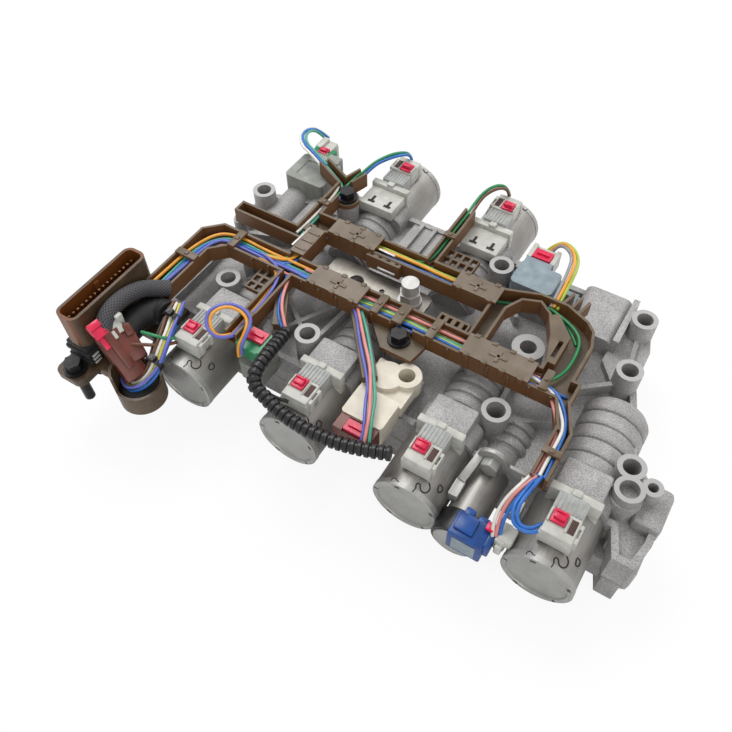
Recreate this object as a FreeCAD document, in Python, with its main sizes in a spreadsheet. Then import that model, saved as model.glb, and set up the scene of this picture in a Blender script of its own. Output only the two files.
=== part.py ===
"""Hydraulic valve body of an automatic transmission, with solenoids and wiring harness.

The base is two die-cast halves with a steel separator plate between them. Six large
solenoids and one small one plug into bores in the upper half, along Y. A moulded wiring
frame lies on top. X is the long side, Z is up and the base stands on z = 0.
"""
import FreeCAD, Part
import math
import os
import Sketcher
from FreeCAD import Placement, Rotation, Vector

SIZES = {
    # Castings and separator plate, in mm
    "lower_thickness": 20.5,
    "separator_thickness": 1.5,
    "deck_thickness": 16.0,
    "pad_rise": 8.0,
    "boss_rise": 18.0,
    "rim_width": 3.5,
    "rim_rise": 5.0,
    "parting_step": 1.2,
    "web_width": 2.6,
    "web_rise": 7.5,
    "housing_rise": 12.0,
    "left_edge": -150.0,
    "front_face": -37.0,
    "back_face": 100.0,
    "back_left_edge": 66.0,
    "back_block_left": -101.0,
    "back_block_right": 19.0,
    "right_back_edge": 98.0,
    "right_edge": 108.0,
    "corner_reach": 39.6,
    "corner_front": -52.0,
    "channel_depth": 12.0,
    "channel_width": 7.0,
    "channel_pitch": 26.0,
    "channel_row_pitch": 31.0,
    "bolt_hole_radius": 4.5,
    "boss_radius": 7.2,
    # Large solenoids
    "bore_height": 34.0,
    "first_can_x": -106.5,
    "can_pitch": 71.3,
    "back_can_x": -78.0,
    "back_can_pitch": 72.0,
    "can_radius": 18.0,
    "can_length": 38.0,
    "can_rim": 2.2,
    "nose_radius": 8.6,
    "nose_length": 46.0,
    "nose_clearance": 0.1,
    "bore_wall": 3.5,
    "bulge_radius": 15.6,
    "bulge_groove": 1.7,
    "big_bulge_radius": 17.8,
    "small_bulge_radius": 11.5,
    "face_block_width": 34.0,
    "face_block_depth": 14.0,
    # Spool valves
    "spool_radius": 5.0,
    "spool_running_gap": 0.03,
    "spool_waist_radius": 3.2,
    "spool_length": 22.5,
    "land_length": 6.0,
    "spool_seat": 8.0,
    "pin_length": 2.0,
    "pin_radius": 1.5,
    "vent_radius": 1.5,
    "spring_wire_radius": 0.5,
    "spring_radius": 3.6,
    "spring_turns": 4,
    # Terminal towers, plugs and locks
    "block_width": 24.0,
    "block_depth": 17.0,
    "block_height": 6.9,
    "tower_width": 26.0,
    "tower_depth": 15.0,
    "tower_height": 13.0,
    "plug_width": 19.0,
    "plug_depth": 13.5,
    "plug_height": 11.0,
    "lock_width": 11.0,
    "lock_depth": 8.0,
    "lock_thickness": 2.4,
    "lock_gap": 0.3,
    # Small solenoid
    "small_can_offset": 28.9,
    "small_can_radius": 10.0,
    "small_can_length": 30.0,
    "small_nose_radius": 6.0,
    "small_head_length": 15.0,
    # Wiring frame
    "frame_rise": 1.5,
    "frame_floor": 1.5,
    "frame_wall": 1.5,
    "frame_height": 10.0,
    "cover_thickness": 1.3,
    "rail_width": 14.5,
    "front_rail_y": 7.0,
    "back_rail_y": 45.5,
    "rail_left": -92.0,
    "cross_width": 9.5,
    "arm_width": 7.5,
    "wire_radius": 0.95,
    # Case connector
    "connector_x": -159.0,
    "connector_y": -67.0,
    "connector_width": 14.5,
    "connector_span": 58.0,
    "connector_top": 80.0,
    "connector_floor": 66.0,
    "connector_base": 44.0,
    "connector_wall": 1.8,
    "flange_thickness": 4.0,
    "pin_side": 1.2,
    "pin_pitch": 3.2,
    "pin_rise": 9.0,
    # Sensors and plates
    "sensor_x": -1.0,
    "sensor_top": 57.0,
    "speed_sensor_x": 35.0,
    "speed_sensor_y": 75.0,
    "side_valve_x": -131.5,
    "switch_x": -74.0,
    "lug_thickness": 3.0,
    "plate_rise": 14.5,
    "plate_left": -76.0,
    "plate_right": -10.0,
    "ring_left": -151.0,
    "ring_end": -45.0,
    "loop_left": 36.0,
    "loop_right": 82.0,
}


class Length:
    """A size in mm with the formula that the document keeps for it."""

    def __init__(self, value, formula):
        self.value = float(value)
        self.formula = formula

    def __add__(self, other):
        other = as_length(other)
        return Length(self.value + other.value, f"({self.formula} + {other.formula})")

    def __radd__(self, other):
        return as_length(other) + self

    def __sub__(self, other):
        other = as_length(other)
        return Length(self.value - other.value, f"({self.formula} - {other.formula})")

    def __rsub__(self, other):
        return as_length(other) - self

    def __mul__(self, factor):
        return Length(self.value * factor, f"({self.formula} * {factor})")

    def __rmul__(self, factor):
        return self * factor

    def __truediv__(self, divisor):
        return Length(self.value / divisor, f"({self.formula} / {divisor})")

    def __neg__(self):
        return Length(-self.value, f"(0 - {self.formula})")


def as_length(size):
    """A Length stays as it is, and a plain number becomes one."""
    return size if isinstance(size, Length) else Length(size, f"{float(size)}")


doc = FreeCAD.newDocument("ValveBody")
sheet = doc.addObject("Spreadsheet::Sheet", "Sizes")


def read_sizes(table):
    """Writes every size into the sheet and gives it back by name, tied to its cell."""
    sizes = {}
    for row, (name, value) in enumerate(table.items(), start=1):
        sheet.set(f"A{row}", name)
        sheet.set(f"B{row}", str(value))
        sheet.setAlias(f"B{row}", name)
        sizes[name] = Length(value, f"Sizes.{name}")
    doc.recompute()
    return sizes


size = read_sizes(SIZES)
nodes = []


def bind(item, path, formula):
    """Ties one property of an object to a formula of the sheet."""
    item.setExpression(path, as_length(formula).formula)


def place(item, x, y, z):
    """Ties an object's place to three formulas and leaves its rotation alone."""
    for axis, formula in zip("xyz", (x, y, z)):
        bind(item, f"Placement.Base.{axis}", formula)


def box(name, x, y, z):
    """A block between a low and a high limit on each axis."""
    block = doc.addObject("Part::Box", name)
    for side, (low, high) in zip(("Length", "Width", "Height"), (x, y, z)):
        bind(block, side, as_length(high) - low)
    place(block, x[0], y[0], z[0])
    return block


def across(centre, width):
    """The low and high limits of a width about a centre."""
    return (centre - width / 2, centre + width / 2)


AXIS_TURN = {
    "x": Rotation(Vector(0, 1, 0), 90),
    "y": Rotation(Vector(1, 0, 0), -90),
    "z": Rotation(),
}


def stand(item, axis, low, centre):
    """Turns an object that is made along Z to an axis, with its foot at low."""
    spot = list(centre)
    spot.insert("xyz".index(axis), low)
    item.Placement = Placement(Vector(), AXIS_TURN[axis])
    place(item, *spot)
    return item


def rod(name, radius, axis, span, centre):
    """A cylinder along an axis between two limits, about a centre on the other two axes."""
    bar = doc.addObject("Part::Cylinder", name)
    bind(bar, "Radius", radius)
    bind(bar, "Height", as_length(span[1]) - span[0])
    return stand(bar, axis, span[0], centre)


def hexagon(name, across_corners, axis, span, centre):
    """A six-sided bar along an axis, for bolt heads and nuts."""
    bar = doc.addObject("Part::Prism", name)
    bar.Polygon = 6
    bind(bar, "Circumradius", across_corners / 2)
    bind(bar, "Height", as_length(span[1]) - span[0])
    return stand(bar, axis, span[0], centre)


def fuse(name, parts):
    """Joins overlapping shapes into one solid."""
    joined = doc.addObject("Part::MultiFuse", name)
    joined.Shapes = parts
    joined.Refine = True
    return joined


def cut(name, base, tools):
    """Takes the tools out of a base shape."""
    tool = tools[0] if len(tools) == 1 else group(f"{name}_tools", tools)
    result = doc.addObject("Part::Cut", name)
    result.Base = base
    result.Tool = tool
    result.Refine = True
    return result


def group(name, parts):
    """Keeps several separate solids together as one object."""
    bundle = doc.addObject("Part::Compound", name)
    bundle.Links = parts
    return bundle


def rounded(name, base, radius, axis):
    """Rounds the straight edges of a base shape that run along an axis."""
    doc.recompute()
    way = dict(x=Vector(1, 0, 0), y=Vector(0, 1, 0), z=Vector(0, 0, 1))[axis]
    smooth = doc.addObject("Part::Fillet", name)
    smooth.Base = base
    radius = as_length(radius).value
    smooth.Edges = [
        (number, radius, radius)
        for number, edge in enumerate(base.Shape.Edges, start=1)
        if isinstance(edge.Curve, Part.Line) and edge.tangentAt(0).cross(way).Length < 1e-6
    ]
    return smooth


def node(name, item):
    """Registers a finished sub-part under the name of its file."""
    item.Label = name
    nodes.append(item)
    return item


def origin_plane(body, role):
    """One of a body's own three origin planes."""
    return next(plane for plane in body.Origin.OriginFeatures if plane.Role == role)


def outline(body, role, corners):
    """A closed sketch of straight edges with every corner tied to the sizes."""
    sketch = body.newObject("Sketcher::SketchObject", f"{body.Name}_outline")
    sketch.AttachmentSupport = (origin_plane(body, role), [""])
    sketch.MapMode = "FlatFace"
    corners = [(as_length(across), as_length(up)) for across, up in corners]
    spots = [Vector(across.value, up.value, 0) for across, up in corners]
    ends = spots[1:] + spots[:1]
    sketch.addGeometry([Part.LineSegment(a, b) for a, b in zip(spots, ends)], False)
    count = len(corners)
    for edge in range(count):
        sketch.addConstraint(Sketcher.Constraint("Coincident", edge, 2, (edge + 1) % count, 1))
    for edge, pair in enumerate(corners):
        for kind, line, coordinate in zip(("DistanceX", "DistanceY"), (-2, -1), pair):
            if coordinate.formula == "0.0":
                sketch.addConstraint(Sketcher.Constraint("PointOnObject", edge, 1, line))
                continue
            rule = Sketcher.Constraint(kind, -1, 1, edge, 1, coordinate.value)
            number = sketch.addConstraint(rule)
            sketch.setExpression(f"Constraints[{number}]", coordinate.formula)
    return sketch


def padded(name, corners, low, thickness):
    """A plate with a sketched outline, from a height upwards."""
    body = doc.addObject("PartDesign::Body", name)
    pad = body.newObject("PartDesign::Pad", f"{name}_pad")
    pad.Profile = outline(body, "XY_Plane", corners)
    bind(pad, "Length", thickness)
    place(body, 0, 0, low)
    return body


def turned(name, profile, x, y, z, turn=0):
    """A body turned about an axis along Y, from a profile of (along, radius) corners."""
    body = doc.addObject("PartDesign::Body", name)
    sketch = outline(body, "YZ_Plane", profile)
    spin = body.newObject("PartDesign::Revolution", f"{name}_turned")
    spin.Profile = sketch
    spin.ReferenceAxis = (sketch, ["H_Axis"])
    spin.Angle = 360
    body.Placement = Placement(Vector(), Rotation(Vector(0, 0, 1), turn))
    place(body, x, y, z)
    return body


def seen_from_above(point):
    """A pair of lengths as a plain vector on the ground."""
    return Vector(as_length(point[0]).value, as_length(point[1]).value, 0)


def bar_between(name, start, end, width, heights):
    """A straight bar between two points seen from above."""
    run = seen_from_above(end) - seen_from_above(start)
    bar = doc.addObject("Part::Box", name)
    bar.Length = run.Length
    bind(bar, "Width", width)
    bind(bar, "Height", as_length(heights[1]) - heights[0])
    turn = math.degrees(math.atan2(run.y, run.x))
    bar.Placement = Placement(Vector(), Rotation(Vector(0, 0, 1), turn))
    side = Vector(-run.y, run.x, 0).normalize()
    half = as_length(width) / 2
    place(bar, start[0] - half * side.x, start[1] - half * side.y, heights[0])
    return bar


separator_bottom = size["lower_thickness"]
separator_top = separator_bottom + size["separator_thickness"]
deck_top = separator_top + size["deck_thickness"]
pad_top = deck_top + size["pad_rise"]
boss_top = deck_top + size["boss_rise"]
frame_bottom = boss_top + size["frame_rise"]
frame_top = frame_bottom + size["frame_height"]
can_top = size["bore_height"] + size["can_radius"]
block_bottom = size["bore_height"] + size["bulge_radius"] + 0.3
block_top = block_bottom + size["block_height"]
plug_bottom = can_top + 0.5
plug_top = plug_bottom + size["plug_height"]
tower_top = can_top + size["tower_height"]
socket_depth = 8.0


class Station:
    """The seat of one solenoid: a bore along Y that opens in a face of the casting."""

    def __init__(self, name, x, face, way):
        self.name = name
        self.x = x
        self.face = face
        self.way = way

    def at(self, out):
        """The Y of a point that lies so far out of the face."""
        return self.face + out * self.way if self.way > 0 else self.face - out

    def span(self, inner, outer):
        """A low and high Y between two distances out of the face."""
        ends = (self.at(as_length(inner)), self.at(as_length(outer)))
        return ends if self.way > 0 else ends[::-1]


front_stations = [
    Station(f"front_{number + 1}", size["first_can_x"] + size["can_pitch"] * number, size["front_face"], -1)
    for number in range(4)
]
back_stations = [
    Station(f"back_{number + 1}", size["back_can_x"] + size["back_can_pitch"] * number, size["back_face"], 1)
    for number in range(2)
]
stations = front_stations + back_stations
small_can_x = front_stations[2].x + size["small_can_offset"]
small_station = Station("small", small_can_x, size["front_face"], -1)


def casting_outline():
    """The corners of the castings seen from above."""
    right = size["right_edge"]
    tip = front_stations[-1].x + size["corner_reach"]
    front = size["front_face"]
    back_block = (size["back_block_left"], size["back_block_right"])
    return [
        (size["left_edge"], front),
        (tip - 20, front),
        (tip - 14, size["corner_front"]),
        (tip - 3, size["corner_front"]),
        (tip, front),
        (tip, front + 21),
        (tip - 11, front + 31),
        (tip - 22, front + 41),
        (right + 9, front + 64),
        (right, front + 87),
        (right, size["right_back_edge"] - 26),
        (right - 8, size["right_back_edge"]),
        (back_block[1], size["right_back_edge"]),
        (back_block[1], size["back_face"]),
        (back_block[0], size["back_face"]),
        (back_block[0], size["back_left_edge"] + 14),
        (size["left_edge"] + 22, size["back_left_edge"] + 14),
        (size["left_edge"], size["back_left_edge"] + 7),
        (size["left_edge"] - 6, size["back_left_edge"] + 1),
        (size["left_edge"] - 6, size["back_left_edge"] - 10),
        (size["left_edge"], size["back_left_edge"] - 17),
    ]


def inset(corners, distance):
    """An anticlockwise outline moved inward by a distance, corner by corner."""
    spots = [seen_from_above(corner) for corner in corners]
    moved = []
    for before, spot, after, (x, y) in zip(spots[-1:] + spots, spots, spots[1:] + spots[:1], corners):
        first = (spot - before).normalize()
        second = (after - spot).normalize()
        normal = Vector(-first.y, first.x, 0)
        inward = normal + Vector(-second.y, second.x, 0)
        step = inward * (as_length(distance).value / inward.dot(normal))
        moved.append((x + step.x, y + step.y))
    return moved


# Through holes for the bolts that hold the stack, as (x, y)
BOLT_HOLES = [
    (-120.0, -12.5),
    (-56.5, -23.0),
    (103.0, 44.5),
    (98.0, 82.0),
    (front_stations[-1].x + 16.6, -10.0),
    (size["left_edge"] + 1.5, size["back_left_edge"] - 5),
    (12.0, 79.0),
]

# Blind bosses of the upper casting, as (x, y, outside radius, hole radius)
BLIND_BOSSES = [
    (54.0, -14.5, 7.6, 5.0),
    (51.0, 31.0, 9.0, 4.6),
    (front_stations[-1].x + 19.9, -22.0, 7.4, 4.9),
    (front_stations[-1].x + 29.0, -15.5, 5.0, 2.6),
]

# Thin webs that tie the bosses to the deck, as pairs of (x, y)
WEBS = [
    ((-120.0, -12.5), (-97.0, 14.0)),
    ((-86.0, 0.0), (-56.5, -23.0)),
    ((-80.0, -26.0), (-58.0, 12.0)),
    ((-56.5, -23.0), (-52.0, 22.0)),
    ((52.0, -15.0), (84.0, 4.0)),
    ((52.0, -15.0), (51.0, 31.0)),
    ((28.0, 22.0), (51.0, 31.0)),
    ((51.0, 31.0), (78.0, 24.0)),
    ((78.0, 24.0), (103.0, 44.5)),
    ((103.0, 44.5), (98.0, 82.0)),
    ((12.0, 79.0), (34.0, 56.0)),
    ((-64.0, 64.0), (-22.0, 58.0)),
    ((-96.0, 76.0), (-122.0, 50.0)),
    ((-145.0, 31.0), (-120.0, 7.0)),
    ((-145.0, 31.0), (-96.0, 50.0)),
]

# Bolts that hold the wiring frame, its feet, and the posts under the centre plate
FRAME_BOLTS = [(size["back_can_x"] - 17.0, 77.5), (size["sensor_x"] - 8.5, -4.0)]
FRAME_FEET = [
    (size["left_edge"] + 5, 31.0),
    (-120.0, size["front_rail_y"]),
    (30.0, size["front_rail_y"]),
    (size["loop_right"] - 5, 24.0),
]
PLATE_POSTS = [(-55.5, 25.5), (-21.0, 28.0)]


def bolt_holes(name, low, high):
    """One through hole for each bolt of the stack."""
    return [
        rod(f"{name}_hole_{number}", size["bolt_hole_radius"], "z", (low, high), (x, y))
        for number, (x, y) in enumerate(BOLT_HOLES + PLATE_POSTS[:1])
    ]


def valve_bulge(station, neck, radius, start, pitch, count):
    """The bellows-like round housing of one spool bore behind its neck, as one turned piece."""
    core = radius - size["bulge_groove"]
    shoulder = radius - size["bulge_groove"] * 0.3
    profile = [(0.5, 0), (0.5, neck), (start - 0.4, neck), (start - 0.4, core)]
    for rib in range(count):
        low = start + pitch * rib
        profile += [
            (low + 0.2, core),
            (low + 0.8, shoulder),
            (low + 2.0, radius),
            (low + pitch - 2.0, radius),
            (low + pitch - 0.8, shoulder),
            (low + pitch - 0.2, core),
        ]
    profile += [(start + pitch * count + 1, core), (start + pitch * count + 1, 0)]
    turn = 0 if station.way < 0 else 180
    tag = f"bulge_{station.name}"
    return turned(tag, profile, station.x, station.face, size["bore_height"], turn)


def face_block(station):
    """The square seat at the casting's face that a solenoid bolts against."""
    width = size["face_block_width"]
    block = box(
        f"face_block_{station.name}",
        across(station.x, width),
        station.span(-size["face_block_depth"], 0),
        (separator_top - 2, block_bottom - 0.3),
    )
    return rounded(f"face_seat_{station.name}", block, 6.0, "y")


def nose_bore(station, radius, depth):
    """The blind bore that takes one solenoid's nose."""
    span = station.span(-depth, 1)
    return rod(f"bore_{station.name}", radius, "y", span, (station.x, size["bore_height"]))


def connector_lug_spot():
    """Where the case connector's flange is bolted to the casting's bracket."""
    return (size["left_edge"] + 6, size["front_face"] - 8)


def casting_pads():
    """The raised pads and housings that stand on the deck."""
    low = deck_top - 1
    x = size["sensor_x"]
    face = size["front_face"]
    speed_x = size["speed_sensor_x"]
    speed_y = size["speed_sensor_y"]
    housing_top = deck_top + size["housing_rise"]
    housing_x = (speed_x + 25, speed_x + 53)
    housing_y = (speed_y - 13, size["right_back_edge"] - 1)
    housing = box("back_housing", housing_x, housing_y, (low, housing_top))
    shelf_left = housing_x[1] - 1
    shelf_corners = [
        (shelf_left, housing_y[0] - 8),
        (size["right_edge"] - 8, 38.0),
        (size["right_edge"] + 1, 42.0),
        (size["right_edge"] - 1, size["right_back_edge"] - 26),
        (size["right_edge"] - 8.5, housing_y[1]),
        (shelf_left, housing_y[1]),
    ]
    block_low = size["back_can_x"] + 22
    pads = [
        rounded("back_housing_round", housing, 5.0, "y"),
        box("housing_bar", (housing_x[1] - 0.5, housing_x[1] + 3), housing_y, (low, housing_top + 2.5)),
        padded("right_shelf", shelf_corners, low, 6.0),
        box("sensor_pad", across(x, 25.0), (face + 0.5, face + 25), (low, pad_top)),
        box("speed_pad", (speed_x - 13, speed_x + 25), (speed_y - 11, speed_y + 13), (low, pad_top)),
        box("back_pad", (block_low, block_low + 30), (74, size["back_face"] - 1), (low, deck_top + 4)),
        rod("side_bulge_wide", 10.0, "y", (52, size["back_left_edge"] + 14), (-137.0, deck_top)),
        rod("side_bulge_slim", 7.5, "y", (50, size["back_left_edge"] + 14), (-119.0, deck_top + 1)),
    ]
    for ridge in range(3):
        ridge_x = across(block_low + 6 + 9.0 * ridge, 2.4)
        pads.append(box(f"back_ridge_{ridge}", ridge_x, (70, size["back_face"] - 3), (low, deck_top + 6.5)))
    return pads


def upper_casting():
    """Deck plate, rim, webs, bosses, pads and ribbed bore housings, with the bores taken out."""
    corners = casting_outline()
    deck = padded("upper_deck", corners, separator_top, size["deck_thickness"])
    rim_height = size["rim_rise"] + 1
    rim = cut(
        "upper_rim",
        padded("rim_outside", corners, deck_top - 1, rim_height),
        [padded("rim_inside", inset(corners, size["rim_width"]), deck_top - 2, rim_height + 2)],
    )
    parts = [deck, rim] + casting_pads()
    web_heights = (deck_top - 1, deck_top + size["web_rise"])
    for number, (start, end) in enumerate(WEBS):
        parts.append(bar_between(f"web_{number}", start, end, size["web_width"], web_heights))
    for number, (x, y) in enumerate(BOLT_HOLES):
        parts.append(rod(f"boss_{number}", size["boss_radius"], "z", (separator_top, boss_top), (x, y)))
    for number, (x, y, outside, _) in enumerate(BLIND_BOSSES):
        parts.append(rod(f"blind_boss_{number}", outside, "z", (separator_top, boss_top), (x, y)))
    for number, (x, y) in enumerate(FRAME_BOLTS):
        heights = (deck_top - 1, frame_bottom)
        parts.append(rod(f"frame_boss_{number}", size["boss_radius"], "z", heights, (x, y)))
    for number, (x, y) in enumerate(FRAME_FEET):
        parts.append(rod(f"frame_post_{number}", 4.0, "z", (deck_top - 1, boss_top), (x, y)))
    plate_bottom = deck_top + size["plate_rise"]
    for number, (x, y) in enumerate(PLATE_POSTS):
        heights = (deck_top - 1, plate_bottom)
        parts.append(rod(f"plate_post_{number}", size["boss_radius"], "z", heights, (x, y)))
    flange_bottom = size["connector_base"] - size["flange_thickness"]
    bracket_y = (size["front_face"] - 15, size["front_face"] + 1)
    bracket_x = (size["left_edge"], size["left_edge"] + 15)
    parts.append(box("connector_bracket", bracket_x, bracket_y, (flange_bottom - 10, flange_bottom)))
    ribs_start = size["face_block_depth"]
    neck = size["nose_radius"] + size["bore_wall"]
    for station in front_stations[:3] + back_stations:
        parts.append(valve_bulge(station, neck, size["bulge_radius"], ribs_start, 7.4, 5))
    big_start = size["block_depth"] + 1
    parts.append(valve_bulge(front_stations[3], neck, size["big_bulge_radius"], big_start, 9.4, 5))
    small_neck = size["small_nose_radius"] + size["bore_wall"]
    parts.append(valve_bulge(small_station, small_neck, size["small_bulge_radius"], ribs_start, 6.2, 3))
    parts += [face_block(station) for station in stations]
    solid = fuse("upper_solid", parts)
    skirt = box("below_deck", (-200, 200), (-200, 200), (-20, separator_top))
    bore_radius = size["nose_radius"] + size["nose_clearance"]
    bore_depth = size["nose_length"] + 1
    tools = [nose_bore(station, bore_radius, bore_depth) for station in stations]
    small_radius = size["small_nose_radius"] + size["nose_clearance"]
    tools.append(nose_bore(small_station, small_radius, size["small_can_length"]))
    tools += bolt_holes("upper", separator_top - 1, boss_top + 1)
    for number, (x, y, _, hole) in enumerate(BLIND_BOSSES):
        tools.append(rod(f"blind_hole_{number}", hole, "z", (boss_top - 22, boss_top + 1), (x, y)))
    for number, (x, y) in enumerate(FRAME_BOLTS):
        tools.append(rod(f"frame_thread_{number}", 3.0, "z", (deck_top + 2, frame_bottom + 1), (x, y)))
    lug_hole = (flange_bottom - 9, flange_bottom + 1)
    tools.append(rod("connector_thread", 3.0, "z", lug_hole, connector_lug_spot()))
    tools.append(rod("stud_thread", 3.0, "z", (plate_bottom - 5, plate_bottom + 1), PLATE_POSTS[1]))
    tools.append(skirt)
    return node("upper_casting", cut("upper_casting", solid, tools))


def lower_casting():
    """Lower half with open channels in its underside and a flat rim to stand on."""
    slab = padded("lower_slab", inset(casting_outline(), size["parting_step"]), 0, size["lower_thickness"])
    tools = []
    channel_top = size["channel_depth"]
    width = size["channel_width"]
    for column in range(9):
        for row in range(3):
            tag = f"channel_{column}_{row}"
            low_x = size["left_edge"] + 8 + size["channel_pitch"] * column
            low_y = size["front_face"] + 6 + size["channel_row_pitch"] * row
            high_x = low_x + size["channel_pitch"] - 6
            high_y = low_y + size["channel_row_pitch"] - 6
            start_y = low_y if (column + row) % 2 else high_y - width
            across_run = (start_y, start_y + width)
            tools.append(box(f"{tag}_long", (low_x, low_x + width), (low_y, high_y), (-1, channel_top)))
            tools.append(box(f"{tag}_turn", (low_x + 1, high_x), across_run, (-1, channel_top)))
    hollow = cut("lower_channels", slab, tools)
    posts = [
        rod(f"post_{number}", size["boss_radius"], "z", (0, size["lower_thickness"]), (x, y))
        for number, (x, y) in enumerate(BOLT_HOLES + PLATE_POSTS[:1] + [(0.0, 0.0)])
    ]
    solid = fuse("lower_solid", [hollow] + posts)
    drilled = cut("lower_casting", solid, bolt_holes("lower", -1, size["lower_thickness"] + 1))
    return node("lower_casting", drilled)


def separator_plate():
    """Thin steel plate between the two castings."""
    plate = padded("separator_blank", casting_outline(), separator_bottom, size["separator_thickness"])
    holes = bolt_holes("separator", separator_bottom - 1, separator_top + 1)
    return node("separator_plate", cut("separator_plate", plate, holes))


def solenoid(station):
    """A solenoid can with its nose sleeve, bored for the spool, as one turned piece."""
    nose = size["nose_length"]
    bore = size["spool_radius"] + size["spool_running_gap"]
    can = size["can_radius"]
    end = -size["can_length"]
    groove = size["nose_radius"] - 1.0
    ports = []
    for port in range(3):
        start = nose - 12 - port * 9.0
        ports += [
            (start, size["nose_radius"]),
            (start, groove),
            (start - 3, groove),
            (start - 3, size["nose_radius"]),
        ]
    profile = [
        (nose - 2, bore),
        (nose - 2, size["vent_radius"]),
        (nose, size["vent_radius"]),
        (nose, size["nose_radius"]),
        *ports,
        (0, size["nose_radius"]),
        (0, can),
        (end, can),
        (end, can - size["can_rim"]),
        (end + 1, can - size["can_rim"]),
        (end + 1, 0),
        (size["spool_seat"], 0),
        (size["spool_seat"], bore),
    ]
    turn = 0 if station.way < 0 else 180
    body = turned(f"can_{station.name}", profile, station.x, station.face, size["bore_height"], turn)
    return node(f"solenoid_{station.name}", body)


def spool(station):
    """A spool valve with two lands and a push pin towards the coil."""
    start = size["spool_seat"] + 0.3
    first = start + size["pin_length"]
    last = first + size["spool_length"]
    land = size["land_length"]
    profile = [
        (start, 0),
        (start, size["pin_radius"]),
        (first, size["pin_radius"]),
        (first, size["spool_radius"]),
        (first + land, size["spool_radius"]),
        (first + land, size["spool_waist_radius"]),
        (last - land, size["spool_waist_radius"]),
        (last - land, size["spool_radius"]),
        (last, size["spool_radius"]),
        (last, 0),
    ]
    turn = 0 if station.way < 0 else 180
    body = turned(f"valve_{station.name}", profile, station.x, station.face, size["bore_height"], turn)
    return node(f"spool_{station.name}", body)


def return_springs():
    """Coil springs between each spool and the closed end of its sleeve."""
    springs = []
    spool_end = size["spool_seat"] + 0.3 + size["pin_length"] + size["spool_length"]
    room = size["nose_length"] - 2 - spool_end
    coil_height = room - 2 * size["spring_wire_radius"] - 0.3
    turns = int(size["spring_turns"].value)
    pitch = coil_height / turns
    climb = math.degrees(math.atan2(pitch.value, 2 * math.pi * size["spring_radius"].value))
    for station in stations:
        helix = doc.addObject("Part::Helix", f"coil_{station.name}")
        bind(helix, "Pitch", pitch)
        bind(helix, "Height", coil_height)
        bind(helix, "Radius", size["spring_radius"])
        helix.SegmentLength = 1
        wire = doc.addObject("Part::Circle", f"wire_{station.name}")
        bind(wire, "Radius", size["spring_wire_radius"])
        wire.Placement = Placement(Vector(), Rotation(Vector(1, 0, 0), 90 + climb))
        place(wire, size["spring_radius"], 0, 0)
        spring = doc.addObject("Part::Sweep", f"spring_{station.name}")
        spring.Sections = [wire]
        spring.Spine = (helix, [f"Edge{turn + 1}" for turn in range(turns)])
        spring.Solid = True
        spring.Frenet = True
        spring.Placement = Placement(Vector(), Rotation(Vector(1, 0, 0), 90 * station.way))
        start = -(spool_end + size["spring_wire_radius"] + 0.15)
        place(spring, station.x, station.at(start), size["bore_height"])
        springs.append(spring)
    return node("return_springs", group("return_springs", springs))


def tower(station):
    """A moulded terminal tower that hugs the can, with a socket for the plug."""
    name = f"tower_{station.name}"
    block = box(
        f"{name}_block",
        across(station.x, size["block_width"]),
        station.span(-size["block_depth"], 0.4),
        (block_bottom, block_top),
    )
    column = box(
        f"{name}_column",
        across(station.x, size["tower_width"]),
        station.span(0.4, size["tower_depth"]),
        (size["bore_height"] + 6, tower_top),
    )
    solid = fuse(f"{name}_solid", [block, column])
    middle = (station.x, size["bore_height"])
    saddle = rod(f"{name}_saddle", size["can_radius"] + 0.1, "y", station.span(-0.2, 40), middle)
    socket = box(
        f"{name}_socket",
        across(station.x, size["plug_width"] - 3.4),
        station.span(size["tower_depth"] - socket_depth, size["tower_depth"] + 1),
        (plug_bottom + 1.3, plug_top - 1.3),
    )
    slots = [
        box(
            f"{name}_slot_{side}",
            across(station.x + side * 7.5, 3.0),
            station.span(-13, -4),
            (block_top - 2.5, block_top + 1),
        )
        for side in (-1, 1)
    ]
    return cut(name, solid, [saddle, socket] + slots)


def plug(name, x, y_span, z_span, tongue, lock_width=size["lock_width"]):
    """A connector plug with a recessed lock track on top and a tongue in its socket."""
    shell = box(f"{name}_shell", x, y_span, z_span)
    middle = (x[0] + x[1]) / 2
    track_width = lock_width + 2 * size["lock_gap"]
    track = box(
        f"{name}_track",
        across(middle, track_width),
        (y_span[0] - 1, y_span[1] + 1),
        (z_span[1] - size["lock_thickness"] + 0.6, z_span[1] + 1),
    )
    return cut(name, fuse(f"{name}_solid", [shell, tongue]), [track])


def solenoid_plug(station):
    """The plug of a large solenoid, standing in its tower's socket."""
    name = f"plug_{station.name}"
    start = size["tower_depth"] + 0.2
    tongue = box(
        f"{name}_tongue",
        across(station.x, size["plug_width"] - 4),
        station.span(size["tower_depth"] - socket_depth + 0.5, start + 1),
        (plug_bottom + 1.6, plug_top - 2.4),
    )
    return plug(
        name,
        across(station.x, size["plug_width"]),
        station.span(start, start + size["plug_depth"]),
        (plug_bottom, plug_top),
        tongue,
    )


def lock(name, middle, y_span, top, width=size["lock_width"]):
    """A sliding red lock in the track of a plug, with a raised grip."""
    low = top - size["lock_thickness"] + 0.9
    plate = box(f"{name}_plate", across(middle, width), y_span, (low, top + 0.6))
    y_middle = (y_span[0] + y_span[1]) / 2
    grip = box(
        f"{name}_grip",
        across(middle, width * 0.7),
        (y_middle - 0.8, y_middle + 0.8),
        (top, top + 1.8),
    )
    return node(name, fuse(name, [plate, grip]))


def solenoid_lock(station):
    """The lock of a large solenoid's plug, close to the tower."""
    start = size["tower_depth"] + 0.6
    return lock(
        f"lock_{station.name}",
        station.x,
        station.span(start, start + size["lock_depth"]),
        plug_top,
    )


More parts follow.
